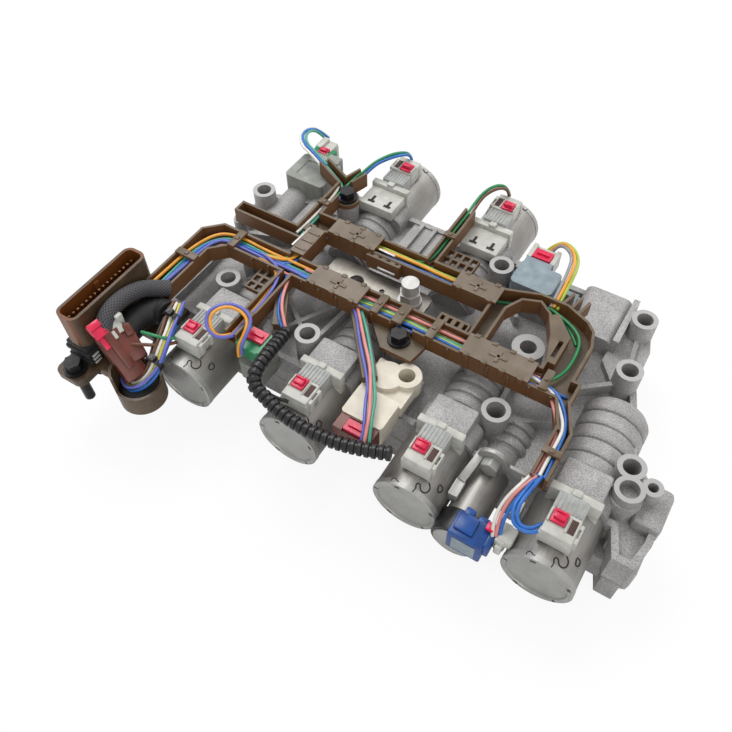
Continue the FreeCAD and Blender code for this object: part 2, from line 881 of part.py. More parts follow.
def small_solenoid():
    """The small solenoid: its can and nose, and the moulded head on its end."""
    nose = size["small_can_length"] - 2
    can = size["small_can_radius"]
    end = -size["small_can_length"]
    profile = [
        (nose, 0),
        (nose, size["small_nose_radius"]),
        (0, size["small_nose_radius"]),
        (0, can),
        (end, can),
        (end, 0),
    ]
    body = turned("small_can", profile, small_can_x, size["front_face"], size["bore_height"])
    node("small_solenoid", body)
    out = size["small_can_length"]
    x = small_can_x
    z = size["bore_height"]
    barrel = rod(
        "small_head_barrel",
        size["small_can_radius"] + 0.6,
        "y",
        small_station.span(out, out + size["small_head_length"]),
        (x, z),
    )
    arm = box(
        "small_head_arm",
        (x, x + can + 3),
        small_station.span(out, out + size["small_head_length"] - 2),
        (z + 2, z + 15),
    )
    node("small_solenoid_head", fuse("small_solenoid_head", [barrel, arm]))
    left = x + can + 3.2
    tongue = box("small_plug_tongue", (left, left + 2), small_station.span(out + 2, out + 8), (z + 4, z + 9))
    plug_span = small_station.span(out, out + 12)
    lock_width = 5.0
    body = plug("small_plug_body", (left, left + 9.5), plug_span, (z + 3, z + 14), tongue, lock_width)
    node("small_solenoid_plug", body)
    lock_span = small_station.span(out + 0.6, out + 7)
    lock("small_solenoid_lock", left + 4.75, lock_span, z + 14, lock_width)


def retaining_straps():
    """Bent steel straps between the solenoids, each with a square hole."""
    straps = []
    gap = size["can_radius"] + 0.5
    starts = [
        size["switch_x"] + 8.3,
        size["sensor_x"] + 14.2,
        front_stations[2].x + gap,
    ]
    for start, left, right in zip(starts, front_stations[:-1], front_stations[1:]):
        high = right.x - gap
        name = f"strap_{left.name}"
        wide = left is front_stations[2]
        floor = 38 if wide else 26
        back = box(f"{name}_back", (start, high), left.span(0, 2), (floor, 46.8))
        shelf = box(f"{name}_shelf", (start, high), left.span(0, 13), (45, 46.8))
        hole_x = (start + high) / 2
        hole_width = 4.0 if wide else 2.6
        tools = [box(f"{name}_hole", across(hole_x, hole_width), left.span(4, 9), (44, 48))]
        room = size["small_can_radius"] + 0.4
        tools.append(rod(f"{name}_room", room, "y", left.span(-1, 20), (small_can_x, size["bore_height"])))
        straps.append(cut(name, fuse(f"{name}_bent", [back, shelf]), tools))
    return node("retaining_straps", group("retaining_straps", straps))


def pressure_sensor():
    """Pressure sensor in the gap between two solenoids: lug on the deck, body in front."""
    x = size["sensor_x"]
    face = size["front_face"]
    top = size["sensor_top"]
    body = box("sensor_body", across(x, 24.0), (face - 19, face), (pad_top - 4, top))
    neck = box("sensor_neck", across(x, 26.0), (face - 1, face + 22), (pad_top, top - 3))
    dome = rod("sensor_dome", 9.0, "z", (pad_top, top), (x - 3, face + 12))
    lug_centre = (x + 6, face + 17)
    lug = rod("sensor_lug", 8.0, "z", (pad_top, top), lug_centre)
    hole = rod("sensor_hole", size["bolt_hole_radius"], "z", (pad_top - 1, top + 1), lug_centre)
    solid = fuse("sensor_solid", [rounded("sensor_block", body, 2.0, "z"), neck, dome, lug])
    socket = box("sensor_socket", across(x, 17.0), (face - 20, face - 13), (pad_top - 1, top - 3))
    node("pressure_sensor", cut("pressure_sensor", solid, [hole, socket]))
    start = face - 19.2
    tongue = box("sensor_tongue", across(x, 16.0), (start - 1, start + 5), (pad_top, top - 4))
    span = (start - 9, start)
    middle = across(x, 22.0)
    node("sensor_plug", plug("sensor_plug", middle, span, (pad_top - 3, top - 1), tongue))
    lock("sensor_lock", x, (start - 8, start - 1.5), top - 1)


def speed_sensor():
    """Sensor block at the back right with its foot, plug and lock."""
    x = size["speed_sensor_x"]
    y = size["speed_sensor_y"]
    foot_top = pad_top + 4
    body = box("speed_body", across(x, 25.0), (y - 10, y + 9), (pad_top, pad_top + 16))
    foot = box("speed_foot", (x, x + 24), (y - 2, y + 11), (pad_top, foot_top))
    hole = rod("speed_hole", 3.2, "z", (pad_top - 1, foot_top + 1), (x + 18, y + 4.5))
    neck = box("speed_neck", across(x - 4, 16.0), (y + 8, y + 14), (pad_top + 4, pad_top + 15))
    solid = fuse("speed_solid", [rounded("speed_block", body, 3.0, "z"), foot, neck])
    socket = box("speed_socket", across(x - 4, 12.0), (y + 10, y + 15), (pad_top + 6, pad_top + 13))
    node("speed_sensor", cut("speed_sensor", solid, [hole, socket]))
    start = y + 14.2
    tongue = box("speed_tongue", across(x - 4, 11.0), (start - 3.5, start + 1), (pad_top + 6.5, pad_top + 12.5))
    plug_span = (start, start + 12)
    heights = (pad_top + 4, pad_top + 15)
    node("speed_sensor_plug", plug("speed_sensor_plug", across(x - 4, 17.0), plug_span, heights, tongue))
    lock("speed_sensor_lock", x - 4, (start + 0.5, start + 8), pad_top + 15)


def side_valve():
    """Small solenoid unit on the back face at the left end, with its plug and lock."""
    x = size["side_valve_x"]
    face = size["back_left_edge"] + 14
    top = frame_bottom - 0.7
    cover = box("side_cover", across(x, 29.0), (face, face + 25), (30, top))
    recess = box("side_recess", across(x, 17.0), (face + 5, face + 20), (top - 0.6, top + 1))
    neck = box("side_neck", across(x, 22.0), (face + 24, face + 31), (46, 58))
    socket = box("side_socket", across(x, 17.0), (face + 26, face + 32), (48, 56))
    solid = fuse("side_solid", [rounded("side_block", cover, 2.5, "z"), neck])
    node("side_valve", cut("side_valve", solid, [recess, socket]))
    start = face + 31.2
    tongue = box("side_tongue", across(x, 16.0), (start - 4, start + 1), (48.5, 55.5))
    node("side_plug", plug("side_plug", across(x, 23.0), (start, start + 13), (45.5, 58.5), tongue))
    lock("side_lock", x, (start + 0.5, start + 8.5), 58.5)


def pressure_switch():
    """Small switch between the first two solenoids, with a green plug on top."""
    x = size["switch_x"]
    face = size["front_face"]
    base = box("switch_base", across(x, 15.0), (face - 18, face), (36, 50))
    neck = rod("switch_neck", 5.5, "z", (49, 54), (x, face - 9))
    bore = rod("switch_bore", 3.5, "z", (51, 55), (x, face - 9))
    solid = fuse("switch_solid", [rounded("switch_block", base, 2.0, "z"), neck])
    node("pressure_switch", cut("pressure_switch", solid, [bore]))
    tongue = rod("switch_tongue", 3.2, "z", (51.5, 55), (x, face - 9))
    body = plug("switch_plug", across(x, 15.5), (face - 16, face - 2), (54.2, 64.0), tongue)
    node("switch_plug", body)
    lock("switch_lock", x, (face - 10, face - 2.5), 64.0)


def frame_fixings():
    """Flanged bolts that hold the wiring frame to the deck."""
    bolts = []
    for number, (x, y) in enumerate(FRAME_BOLTS):
        lug_top = frame_bottom + size["lug_thickness"]
        shank = rod(f"fixing_shank_{number}", 3.0, "z", (deck_top + 2, lug_top + 1), (x, y))
        flange = rod(f"fixing_flange_{number}", 6.4, "z", (lug_top, lug_top + 1.6), (x, y))
        head = hexagon(f"fixing_head_{number}", 9.6, "z", (lug_top + 1.5, lug_top + 6), (x, y))
        bolts.append(fuse(f"fixing_{number}", [shank, flange, head]))
    return node("frame_bolts", group("frame_bolts", bolts))


def centre_plate():
    """Flat steel plate on three posts between the rails, with the stud that holds it."""
    bottom = deck_top + size["plate_rise"]
    top = bottom + 1.5
    x_low, x_high = size["plate_left"], size["plate_right"]
    y_low = size["front_rail_y"] + size["rail_width"] / 2 + 1
    y_high = size["back_rail_y"] - size["rail_width"] / 2 - 1
    blank = box("plate_blank", (x_low, x_high), (y_low, y_high), (bottom, top))
    middle = (y_low + y_high) / 2
    holes = [
        rod("plate_hole", size["bolt_hole_radius"], "z", (bottom - 1, top + 1), PLATE_POSTS[0]),
        rod("plate_small_hole", 1.6, "z", (bottom - 1, top + 1), (PLATE_POSTS[0][0] + 17, middle)),
        rod("plate_stud_hole", 3.4, "z", (bottom - 1, top + 1), PLATE_POSTS[1]),
    ]
    node("centre_plate", cut("centre_plate", rounded("plate_round", blank, 4.0, "z"), holes))
    shank = rod("stud_shank", 3.0, "z", (bottom - 5, top + 14), PLATE_POSTS[1])
    washer = rod("stud_washer", 7.0, "z", (top, top + 1.6), PLATE_POSTS[1])
    nut = hexagon("stud_nut", 12.5, "z", (top + 1.5, top + 8), PLATE_POSTS[1])
    cap = rod("stud_cap", 5.0, "z", (top + 7.5, top + 15.5), PLATE_POSTS[1])
    node("centre_stud", fuse("centre_stud", [shank, washer, nut, cap]))


def trough(name, x, y, open_end=""):
    """The outside and the inside of one straight channel, open at one Y end or closed."""
    wall = size["frame_wall"]
    outside = box(f"{name}_outside", x, y, (frame_bottom, frame_top))
    low = y[0] - 1 if open_end == "front" else y[0] + wall
    high = y[1] + 1 if open_end == "back" else y[1] - wall
    heights = (frame_bottom + size["frame_floor"], frame_top + 1)
    inside = box(f"{name}_inside", (x[0] + wall, x[1] - wall), (low, high), heights)
    return outside, inside


def lane(name, start, end):
    """The outside and the inside of a channel that runs askew, open at its far end."""
    run = (seen_from_above(end) - seen_from_above(start)).normalize()
    beyond = (end[0] + run.x, end[1] + run.y)
    wall = size["frame_wall"]
    width = size["arm_width"]
    heights = (frame_bottom + size["frame_floor"], frame_top + 1)
    outside = bar_between(f"{name}_outside", start, end, width, (frame_bottom, frame_top))
    return outside, bar_between(f"{name}_inside", start, beyond, width - 2 * wall, heights)


def ring_channel(low_y, high_y, joint_x):
    """The left ring: a channel with cut corners that is open at its front end."""
    left = size["ring_left"]
    corners = [
        (left, size["ring_end"]),
        (left + 15, size["ring_end"]),
        (left + 15, low_y - 8),
        (left + 23, low_y),
        (joint_x, low_y),
        (joint_x, high_y),
        (left + 10, high_y),
        (left, high_y - 10),
    ]
    hollow = inset(corners, size["frame_wall"])
    hollow[:2] = [(x, size["ring_end"] - 1) for x, y in hollow[:2]]
    outside = padded("frame_ring_outside", corners, frame_bottom, size["frame_height"])
    return outside, padded("frame_ring_inside", hollow, frame_bottom + size["frame_floor"], size["frame_height"])


def loop_channel(low_y, high_y):
    """The right loop round its arched gap: outside, gap and channel."""
    left = size["loop_left"]
    right = size["loop_right"]
    wall = size["frame_wall"]
    front = low_y + size["rail_width"]
    outside = [
        (left - 14, low_y),
        (right, low_y),
        (right, high_y - 13),
        (right - 3, high_y - 3),
        (right - 8, high_y + 2),
        (right - 22, high_y + 8),
        (left + 8, high_y + 8),
        (left - 14, high_y),
    ]
    gap = [
        (left - 4, front),
        (right - 18, front),
        (right - 18, front + 6),
        (right - 22.5, front + 21.5),
        (right - 29, high_y - 3.5),
        (right - 36, high_y + 1.5),
        (left + 1, high_y - 2),
        (left - 4, high_y - 12),
    ]
    slotted = [
        (right - 20, front + 4),
        (right - 12.5, front + 4),
        (right - 12.5, high_y - 13),
        (right - 24, high_y - 1),
        (right - 28, high_y - 4),
    ]
    low = frame_bottom + size["frame_floor"]
    height = size["frame_height"]
    body = padded("loop_outside", outside, frame_bottom, height)
    hole = padded("loop_gap", gap, frame_bottom - 1, height + 2)
    kept = [
        padded("loop_gap_wall", inset(gap, -wall), low - 1, height + 2),
        padded("loop_slotted", slotted, low - 1, height + 2),
    ]
    channel = cut("loop_channel", padded("loop_inside", inset(outside, wall), low, height), kept)
    slot = box("loop_slot", across(right - 15.5, 2.4), (front + 8, front + 20), (frame_top - 4, frame_top + 1))
    return body, [hole, channel, slot]


def slotted_block(name, x, y, count):
    """A clip block with a row of slots in its top, as its body and the slots."""
    body = box(f"{name}_body", x, y, (frame_bottom, frame_top - 0.5))
    pitch = (x[1] - x[0]) / count
    heights = (frame_top - 4, frame_top + 1)
    slots = [
        box(f"{name}_slot_{number}", across(x[0] + pitch * (number + 0.5), 2.2), (y[0] + 1.5, y[1] - 1.5), heights)
        for number in range(count)
    ]
    return body, slots


def lattice(name, x, y, columns, rows):
    """A thin open grid between two channels, as its plate and its windows."""
    heights = (frame_bottom + 1, frame_bottom + 4)
    plate = box(f"{name}_plate", x, y, heights)
    bar_x = (x[1] - x[0]) / columns
    bar_y = (y[1] - y[0]) / rows
    windows = [
        box(
            f"{name}_window_{column}_{row}",
            (x[0] + bar_x * column + 0.8, x[0] + bar_x * (column + 1) - 0.8),
            (y[0] + bar_y * row + 0.8, y[0] + bar_y * (row + 1) - 0.8),
            (heights[0] - 1, heights[1] + 1),
        )
        for column in range(columns)
        for row in range(rows)
    ]
    return plate, windows


def harness_frame():
    """One moulding: two rails, a ring and a loop at the ends, branch arms, clips and grids."""
    front = across(size["front_rail_y"], size["rail_width"])
    back = across(size["back_rail_y"], size["rail_width"] - 1.5)
    cross = (size["rail_left"] - 2, size["rail_left"] - 2 + size["cross_width"])
    loop_left = size["loop_left"]
    right = size["loop_right"]
    face = size["front_face"]
    back_1 = size["back_can_x"]
    back_2 = back_1 + size["back_can_pitch"]
    stem = back_1 - 22
    channels = {
        "front_rail": ((cross[0] - 20, right + 4), front),
        "back_rail": ((cross[0] - 9, loop_left - 6), back),
        "cross": (cross, (front[0], back[1])),
        "arm_can_4": ((right + 2.5, right + 11.5), (face - 8, face + 22)),
        "arm_can_1": ((cross[0] + 4, cross[0] + 12), (face - 14, front[1])),
        "arm_back_2": ((back_2 - 18, back_2 - 11), (back[0], size["back_face"])),
        "arm_left": ((size["left_edge"] + 6, cross[1]), (27, 36)),
        "stem": (across(stem, 7.5), (27, size["back_left_edge"] + 21)),
    }
    open_ends = {"arm_can_1": "front", "arm_can_4": "front", "arm_back_2": "back"}
    pairs = [
        trough(f"frame_{name}", x, y, open_ends.get(name, ""))
        for name, (x, y) in channels.items()
    ]
    junction = (stem, size["back_left_edge"] + 17)
    pairs += [
        ring_channel(front[0], front[1], cross[0] - 10),
        lane("frame_clip_left", junction, (stem - 23, size["back_left_edge"] + 28)),
        lane("frame_clip_right", junction, (stem + 4.5, size["back_face"] - 2.5)),
        lane("frame_bend_can_4", (right - 3, front[0] + 6), (right + 8, face + 20)),
    ]
    solid_parts = [outside for outside, inside in pairs]
    tools = [inside for outside, inside in pairs]
    for body, openings in (
        loop_channel(front[0], back[1]),
        slotted_block("clip_block", (-55.0, -33.0), (back[0] - 3, back[0] + 1), 4),
        slotted_block("slot_clip", (3.0, 21.0), (front[1] - 1, front[1] + 6), 4),
        lattice("frame_grid", (back_2 - 17.5, back_2 + 8), (back[1] - 1, back[1] + 18), 5, 3),
        lattice("ring_grid", (cross[0] - 10, cross[0] + 5), (front[0] - 16, front[0] + 1), 3, 3),
    ):
        solid_parts.append(body)
        tools += openings
    low = (frame_bottom, frame_bottom + 5)
    solid_parts.append(bar_between("frame_arm_sensor", (-41, 4), (-9, -34), 8.0, low))
    solid_parts.append(bar_between("frame_arm_switch", (-82, -10), (-70, -30), 7.0, low))
    for fin in range(3):
        start = (right - 26 + fin * 5, back[1] + 6 - fin)
        end = (start[0] + 3, start[1] + 12)
        solid_parts.append(bar_between(f"frame_fin_{fin}", start, end, 1.6, (frame_bottom, frame_top - 1)))
    lug_heights = (frame_bottom, frame_bottom + size["lug_thickness"])
    pad_corners = [(-29.0, 0.0), (-15.6, -13.4), (3.0, -13.4), (4.9, -3.0), (4.9, 1.0), (-29.0, 3.0)]
    solid_parts.append(padded("frame_pad", pad_corners, frame_bottom, size["lug_thickness"]))
    for number, spot in enumerate(FRAME_BOLTS):
        solid_parts.append(rod(f"frame_lug_{number}", 7.6, "z", lug_heights, spot))
    for number, spot in enumerate(FRAME_FEET):
        solid_parts.append(rod(f"frame_foot_{number}", 2.6, "z", (boss_top, frame_bottom + 1), spot))
    for number, spot in enumerate(FRAME_BOLTS):
        tools.append(rod(f"frame_lug_hole_{number}", 3.3, "z", (boss_top, frame_top + 2), spot))
        tools.append(rod(f"frame_head_room_{number}", 7.2, "z", (lug_heights[1], frame_top + 2), spot))
    return node("harness_frame", cut("harness_frame", fuse("frame_solid", solid_parts), tools))


def rail_covers():
    """Flat clip-on covers over the closed stretches of the channels."""
    front = across(size["front_rail_y"], size["rail_width"] - 0.4)
    back = across(size["back_rail_y"], size["rail_width"] - 1.9)
    cross = (size["rail_left"] - 1.8, size["rail_left"] - 2.2 + size["cross_width"])
    heights = (frame_top, frame_top + size["cover_thickness"])
    spans = {
        "front_left": ((-72, -38.5), front),
        "front_right": ((24, 62.5), front),
        "cross": (cross, (front[1] + 1, back[0] - 1)),
        "back_left": ((cross[1] + 1, -52), back),
        "back_right": ((-1, 25.5), back),
    }
    covers = [box(f"cover_{name}", x, y, heights) for name, (x, y) in spans.items()]
    return node("rail_covers", group("rail_covers", covers))


def case_connector():
    """The large connector: shroud, flange, pins, collar, bolt and the parts beside it."""
    x = across(size["connector_x"], size["connector_width"])
    y = across(size["connector_y"], size["connector_span"])
    wall = size["connector_wall"]
    base = size["connector_base"]
    flange_bottom = base - size["flange_thickness"]
    mouth_floor = size["connector_floor"]
    tube = rounded("shroud_tube", box("shroud_block", x, y, (base - 1, size["connector_top"])), 5.0, "z")
    mouth_x = (x[0] + wall, x[1] - wall)
    mouth_y = (y[0] + wall, y[1] - wall)
    mouth = rounded("mouth_round", box("mouth", mouth_x, mouth_y, (mouth_floor, 90)), 3.2, "z")
    ear = (y[0] - 14, y[1] + 1)
    flange = rounded("flange_round", box("flange", (x[0] - 2, x[1] + 3.5), ear, (flange_bottom, base)), 5.0, "z")
    seat = box("flange_seat", (x[1], x[1] + 19), (y[1] - 26, y[1] + 1), (flange_bottom, base))
    bolt_spot = (x[0] + 8, y[0] - 7)
    lug_spot = connector_lug_spot()
    holes = [
        rod("flange_bolt_hole", 3.3, "z", (flange_bottom - 1, base + 1), bolt_spot),
        rod("flange_lug_hole", 3.3, "z", (flange_bottom - 1, base + 1), lug_spot),
    ]
    key = box("shroud_key", (x[0] + 0.5, x[0] + 3), across(size["connector_y"], 3.0), (mouth_floor - 1, 78.0))
    shell = cut("shroud_shell", fuse("shroud_solid", [tube, flange, seat]), [mouth] + holes)
    node("connector_shroud", fuse("connector_shroud", [shell, key]))

    pins = []
    count = 16
    for row in (-1, 1):
        for number in range(count):
            spot_y = size["connector_y"] + (number - (count - 1) / 2) * size["pin_pitch"]
            pin_x = across(size["connector_x"] + row * 2.2, size["pin_side"])
            pin_y = across(spot_y, size["pin_side"])
            heights = (mouth_floor, mouth_floor + size["pin_rise"])
            pins.append(box(f"pin_{row + 1}_{number}", pin_x, pin_y, heights))
    node("connector_pins", group("connector_pins", pins))

    rings = [
        rounded(
            f"collar_round_{ring}",
            box(
                f"collar_{ring}",
                (x[0] + 1.5 + ring % 2 * 1.4, x[1] - 1.5 - ring % 2 * 1.4),
                (y[0] + 1.5 + ring % 2 * 1.4, y[1] - 1.5 - ring % 2 * 1.4),
                (flange_bottom - 3 * (ring + 1), flange_bottom - 3 * ring + 0.2 * (ring > 0)),
            ),
            3.0,
            "z",
        )
        for ring in range(4)
    ]
    node("connector_collar", fuse("connector_collar", rings))

    bolts = []
    for number, (spot, drop) in enumerate(((bolt_spot, 22), (lug_spot, 8))):
        shank = rod(f"case_bolt_shank_{number}", 3.0, "z", (flange_bottom - drop, base + 1), spot)
        washer = rod(f"case_bolt_washer_{number}", 6.4, "z", (base, base + 1.6), spot)
        head = hexagon(f"case_bolt_head_{number}", 10.0, "z", (base + 1.5, base + 7), spot)
        bolts.append(fuse(f"case_bolt_{number}", [shank, washer, head]))
    node("connector_bolts", group("connector_bolts", bolts))

    cup_x = x[1] + 21
    cup_y = y[0] + 4
    cup = rod("cup_body", 15.0, "z", (30, flange_bottom + 4), (cup_x, cup_y))
    brim = rod("cup_brim", 17.0, "z", (flange_bottom + 1.5, flange_bottom + 4), (cup_x, cup_y))
    link = box("cup_link", (x[1] + 3.7, cup_x), across(cup_y, 9.0), (flange_bottom, base))
    cup_hollow = rod("cup_hollow", 13.2, "z", (32, 60), (cup_x, cup_y))
    node("wire_cup", cut("wire_cup", fuse("cup_solid", [cup, brim, link]), [cup_hollow]))


def lever_plug():
    """Plug of the control unit's lead beside the case connector, with its lock."""
    x = size["connector_x"] + size["connector_width"] / 2
    y = size["connector_y"]
    base = size["connector_base"]
    tongue = box("lever_tongue", (x + 1, x + 6), (y - 14, y - 10), (base, base + 3))
    body = plug("lever_plug", (x + 0.3, x + 19), (y - 26, y - 6), (base + 0.2, base + 14), tongue)
    node("lever_plug", body)
    lock("lever_lock", x + 9.65, (y - 20, y - 12), base + 14)


def tube(name, points, radius):
    """A round cord of straight runs and tangent arcs through hand-chosen points."""
    corners = [Vector(*point) for point in points]
    edges = []
    last = corners[0]
    smallest = math.inf
    for before, corner, after in zip(corners, corners[1:], corners[2:]):
        inward = (before - corner).normalize()
        onward = (after - corner).normalize()
        turn = math.pi - inward.getAngle(onward)
        reach = 0.45 * min((before - corner).Length, (after - corner).Length)
        bend = reach / math.tan(turn / 2)
        smallest = min(smallest, bend)
        start = corner + inward * reach
        end = corner + onward * reach
        bisector = (inward + onward).normalize()
        centre = corner + bisector * math.hypot(reach, bend)
        edges.append(Part.LineSegment(last, start).toShape())
        edges.append(Part.Arc(start, centre - bisector * bend, end).toShape())
        last = end
    edges.append(Part.LineSegment(last, corners[-1]).toShape())
    path = Part.Wire(edges)
    section = Part.Wire(Part.Circle(corners[0], corners[1] - corners[0], radius).toShape())
    solid = path.makePipeShell([section], True, False)
    expected = math.pi * radius**2 * path.Length
    share = solid.Volume / expected
    print(f"{name}: smallest bend {smallest:.1f}, length {path.Length:.0f}, volume share {share:.3f}")
    cord = doc.addObject("Part::Feature", name)
    cord.Shape = solid
    return cord


def conduit():
    """Corrugated conduit in front of the second solenoid, to the plug of the third."""
    end_x = front_stations[2].x.value - size["plug_width"].value / 2
    plug_y = front_stations[2].at(size["tower_depth"] + 7).value
    points = [
        (-64.0, -31.0, 61.5),
        (-61.0, -47.0, 63.0),
        (-56.5, -65.0, 61.0),
        (-43.5, -76.0, 57.5),
        (-25.0, -78.5, 56.5),
        (-7.0, -77.0, 57.5),
        (9.0, -70.5, 60.0),
        (19.0, -62.5, 59.8),
        (end_x - 1.9, plug_y, 59.0),
    ]
    return node("conduit", tube("conduit", points, 3.4))


def braided_sleeve():
    """Braided sleeve from the lever plug to the ring of the wiring frame."""
    points = [
        (-142.0, -72.4, 52.0),
        (-142.4, -64.0, 52.6),
        (-145.0, -57.5, 59.0),
        (-147.0, -52.0, 63.5),
        (-145.5, -43.5, 63.4),
        (-143.4, -33.0, 62.6),
    ]
    return node("braided_sleeve", tube("braided_sleeve", points, 3.6))


def harness_wires():
    """Wires that lie in the channels of the wiring frame."""
    routes = {
        "front_a": [
            (-144.5, -29, 60.2), (-144.6, -12, 60.4), (-140.5, 3.0, 60.6), (-128, 7.6, 60.3),
            (-104, 4.2, 60.4), (-70, 3.4, 60.5), (-30, 4.6, 61.0), (12, 3.6, 60.8),
            (45, 4.4, 60.4), (76, 5.0, 60.3),
        ],
        "front_b": [
            (-147.3, -29, 60.6), (-147.5, -8, 60.8), (-143.2, 6.0, 60.9), (-130, 11.0, 61.0),
            (-100, 7.8, 60.6), (-62, 8.4, 60.4), (-24, 7.2, 60.7), (14, 8.2, 61.0),
            (52, 7.4, 60.5), (82, 8.0, 60.4),
        ],
        "back_a": [
            (-88.9, 13, 60.3), (-89.1, 30.5, 60.5), (-88.8, 45.8, 60.6), (-72, 45.2, 60.3),
            (-44, 44.2, 60.5), (-10, 45.6, 60.6), (14, 46.0, 60.4), (29.5, 50.3, 60.4),
            (42, 56.0, 60.5), (52, 56.9, 60.4), (66, 51.5, 60.4), (73, 42.0, 60.3),
        ],
    }
    wires = [tube(f"wire_{name}", points, size["wire_radius"].value) for name, points in routes.items()]
    return node("harness_wires", group("harness_wires", wires))


for each in stations:
    solenoid(each)
    spool(each)
    solenoid_lock(each)
return_springs()
node("solenoid_towers", group("solenoid_towers", [tower(each) for each in stations]))
node("solenoid_plugs", group("solenoid_plugs", [solenoid_plug(each) for each in stations]))
small_solenoid()
retaining_straps()

upper_casting()
lower_casting()
separator_plate()
pressure_sensor()
speed_sensor()
side_valve()
pressure_switch()
frame_fixings()
centre_plate()
harness_frame()
rail_covers()
case_connector()
lever_plug()
conduit()
braided_sleeve()
harness_wires()


def export():
    """Checks every object and writes each sub-part to its file."""
    doc.recompute()
    failed = [item.Name for item in doc.Objects if {"Invalid", "Error"} & set(item.State)]
    if failed:
        raise RuntimeError(f"failed objects: {failed}")
    os.makedirs("parts", exist_ok=True)
    for item in nodes:
        shape = item.Shape
        if shape.isNull() or not shape.isValid() or not shape.Solids:
            raise RuntimeError(f"{item.Label} has no valid solid")
        shape.exportStep(f"parts/{item.Label}.step")


export()
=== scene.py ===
"""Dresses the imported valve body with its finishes, cords and small trim.

Everything is in metres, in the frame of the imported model: X is the long side, the solenoids
lie along Y, and the base stands on z = 0.
"""
import logging
import math
from dataclasses import dataclass
from enum import Enum
from typing import Optional, Sequence

import bmesh
import bpy
from mathutils import Matrix, Vector


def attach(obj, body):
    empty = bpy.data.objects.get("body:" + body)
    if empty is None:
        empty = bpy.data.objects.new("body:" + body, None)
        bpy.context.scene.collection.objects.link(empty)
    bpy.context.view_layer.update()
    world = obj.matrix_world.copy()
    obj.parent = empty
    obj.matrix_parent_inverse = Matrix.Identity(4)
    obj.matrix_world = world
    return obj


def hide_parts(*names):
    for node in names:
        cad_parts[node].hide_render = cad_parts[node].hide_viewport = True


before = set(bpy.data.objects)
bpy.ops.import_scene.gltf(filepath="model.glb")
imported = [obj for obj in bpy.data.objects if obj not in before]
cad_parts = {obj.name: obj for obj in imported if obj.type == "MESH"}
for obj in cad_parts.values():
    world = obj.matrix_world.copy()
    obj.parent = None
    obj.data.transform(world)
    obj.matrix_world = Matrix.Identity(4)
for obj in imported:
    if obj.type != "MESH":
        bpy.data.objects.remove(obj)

LOG = logging.getLogger("valve_body")
MM = 0.001
BODY = "valve_body"
# Edges of round cords flatter than this many degrees are shaded smooth.
CORD_SMOOTH = 60.0
# Corners closer than this are one corner.
WELD = 0.002 * MM

Spot = tuple[float, float, float]
Span = tuple[float, float]
# Values for one block after another, each row in the order that its function takes them.
Rows = Sequence[tuple]


def linear(hex_colour: str) -> tuple[float, float, float, float]:
    """Turns an sRGB hex colour into the linear colour that a shader takes.

    Args:
        hex_colour: Six hex digits after a hash sign.

    Returns:
        Red, green, blue and an alpha of 1.
    """
    channels = [int(hex_colour[start:start + 2], 16) / 255 for start in (1, 3, 5)]
    toned = [c / 12.92 if c <= 0.04045 else ((c + 0.055) / 1.055) ** 2.4 for c in channels]
    return (*toned, 1.0)


def feed(tree: bpy.types.NodeTree, node: bpy.types.Node, links: dict) -> None:
    """Links sockets of other nodes to a node's inputs, by input name or number."""
    for name, socket in links.items():
        tree.links.new(socket, node.inputs[name])


def add_node(
    tree: bpy.types.NodeTree,
    kind: str,
    settings: Optional[dict] = None,
    values: Optional[dict] = None,
    links: Optional[dict] = None,
    stops: Sequence[tuple[float, str]] = (),
) -> bpy.types.Node:
    """Adds one shader node with its settings, its input values and its links.

    Args:
        tree: The node tree that gets the node.
        kind: Blender's name for the kind of node.
        settings: Properties of the node itself, by name.
        values: Values of its inputs, by name or number.
        links: Sockets of other nodes that feed its inputs, by input name or number.
        stops: A colour ramp's places from 0 to 1 with their hex colours, in order.

    Returns:
        The new node.
    """
    node = tree.nodes.new(kind)
    for name, value in (settings or {}).items():
        setattr(node, name, value)
    for name, value in (values or {}).items():
        node.inputs[name].default_value = value
    feed(tree, node, links or {})
    if stops:
        elements = node.color_ramp.elements
        while len(elements) < len(stops):
            elements.new(0.5)
        for element, (place, colour) in zip(elements, stops):
            element.position = place
            element.color = linear(colour)
    return node


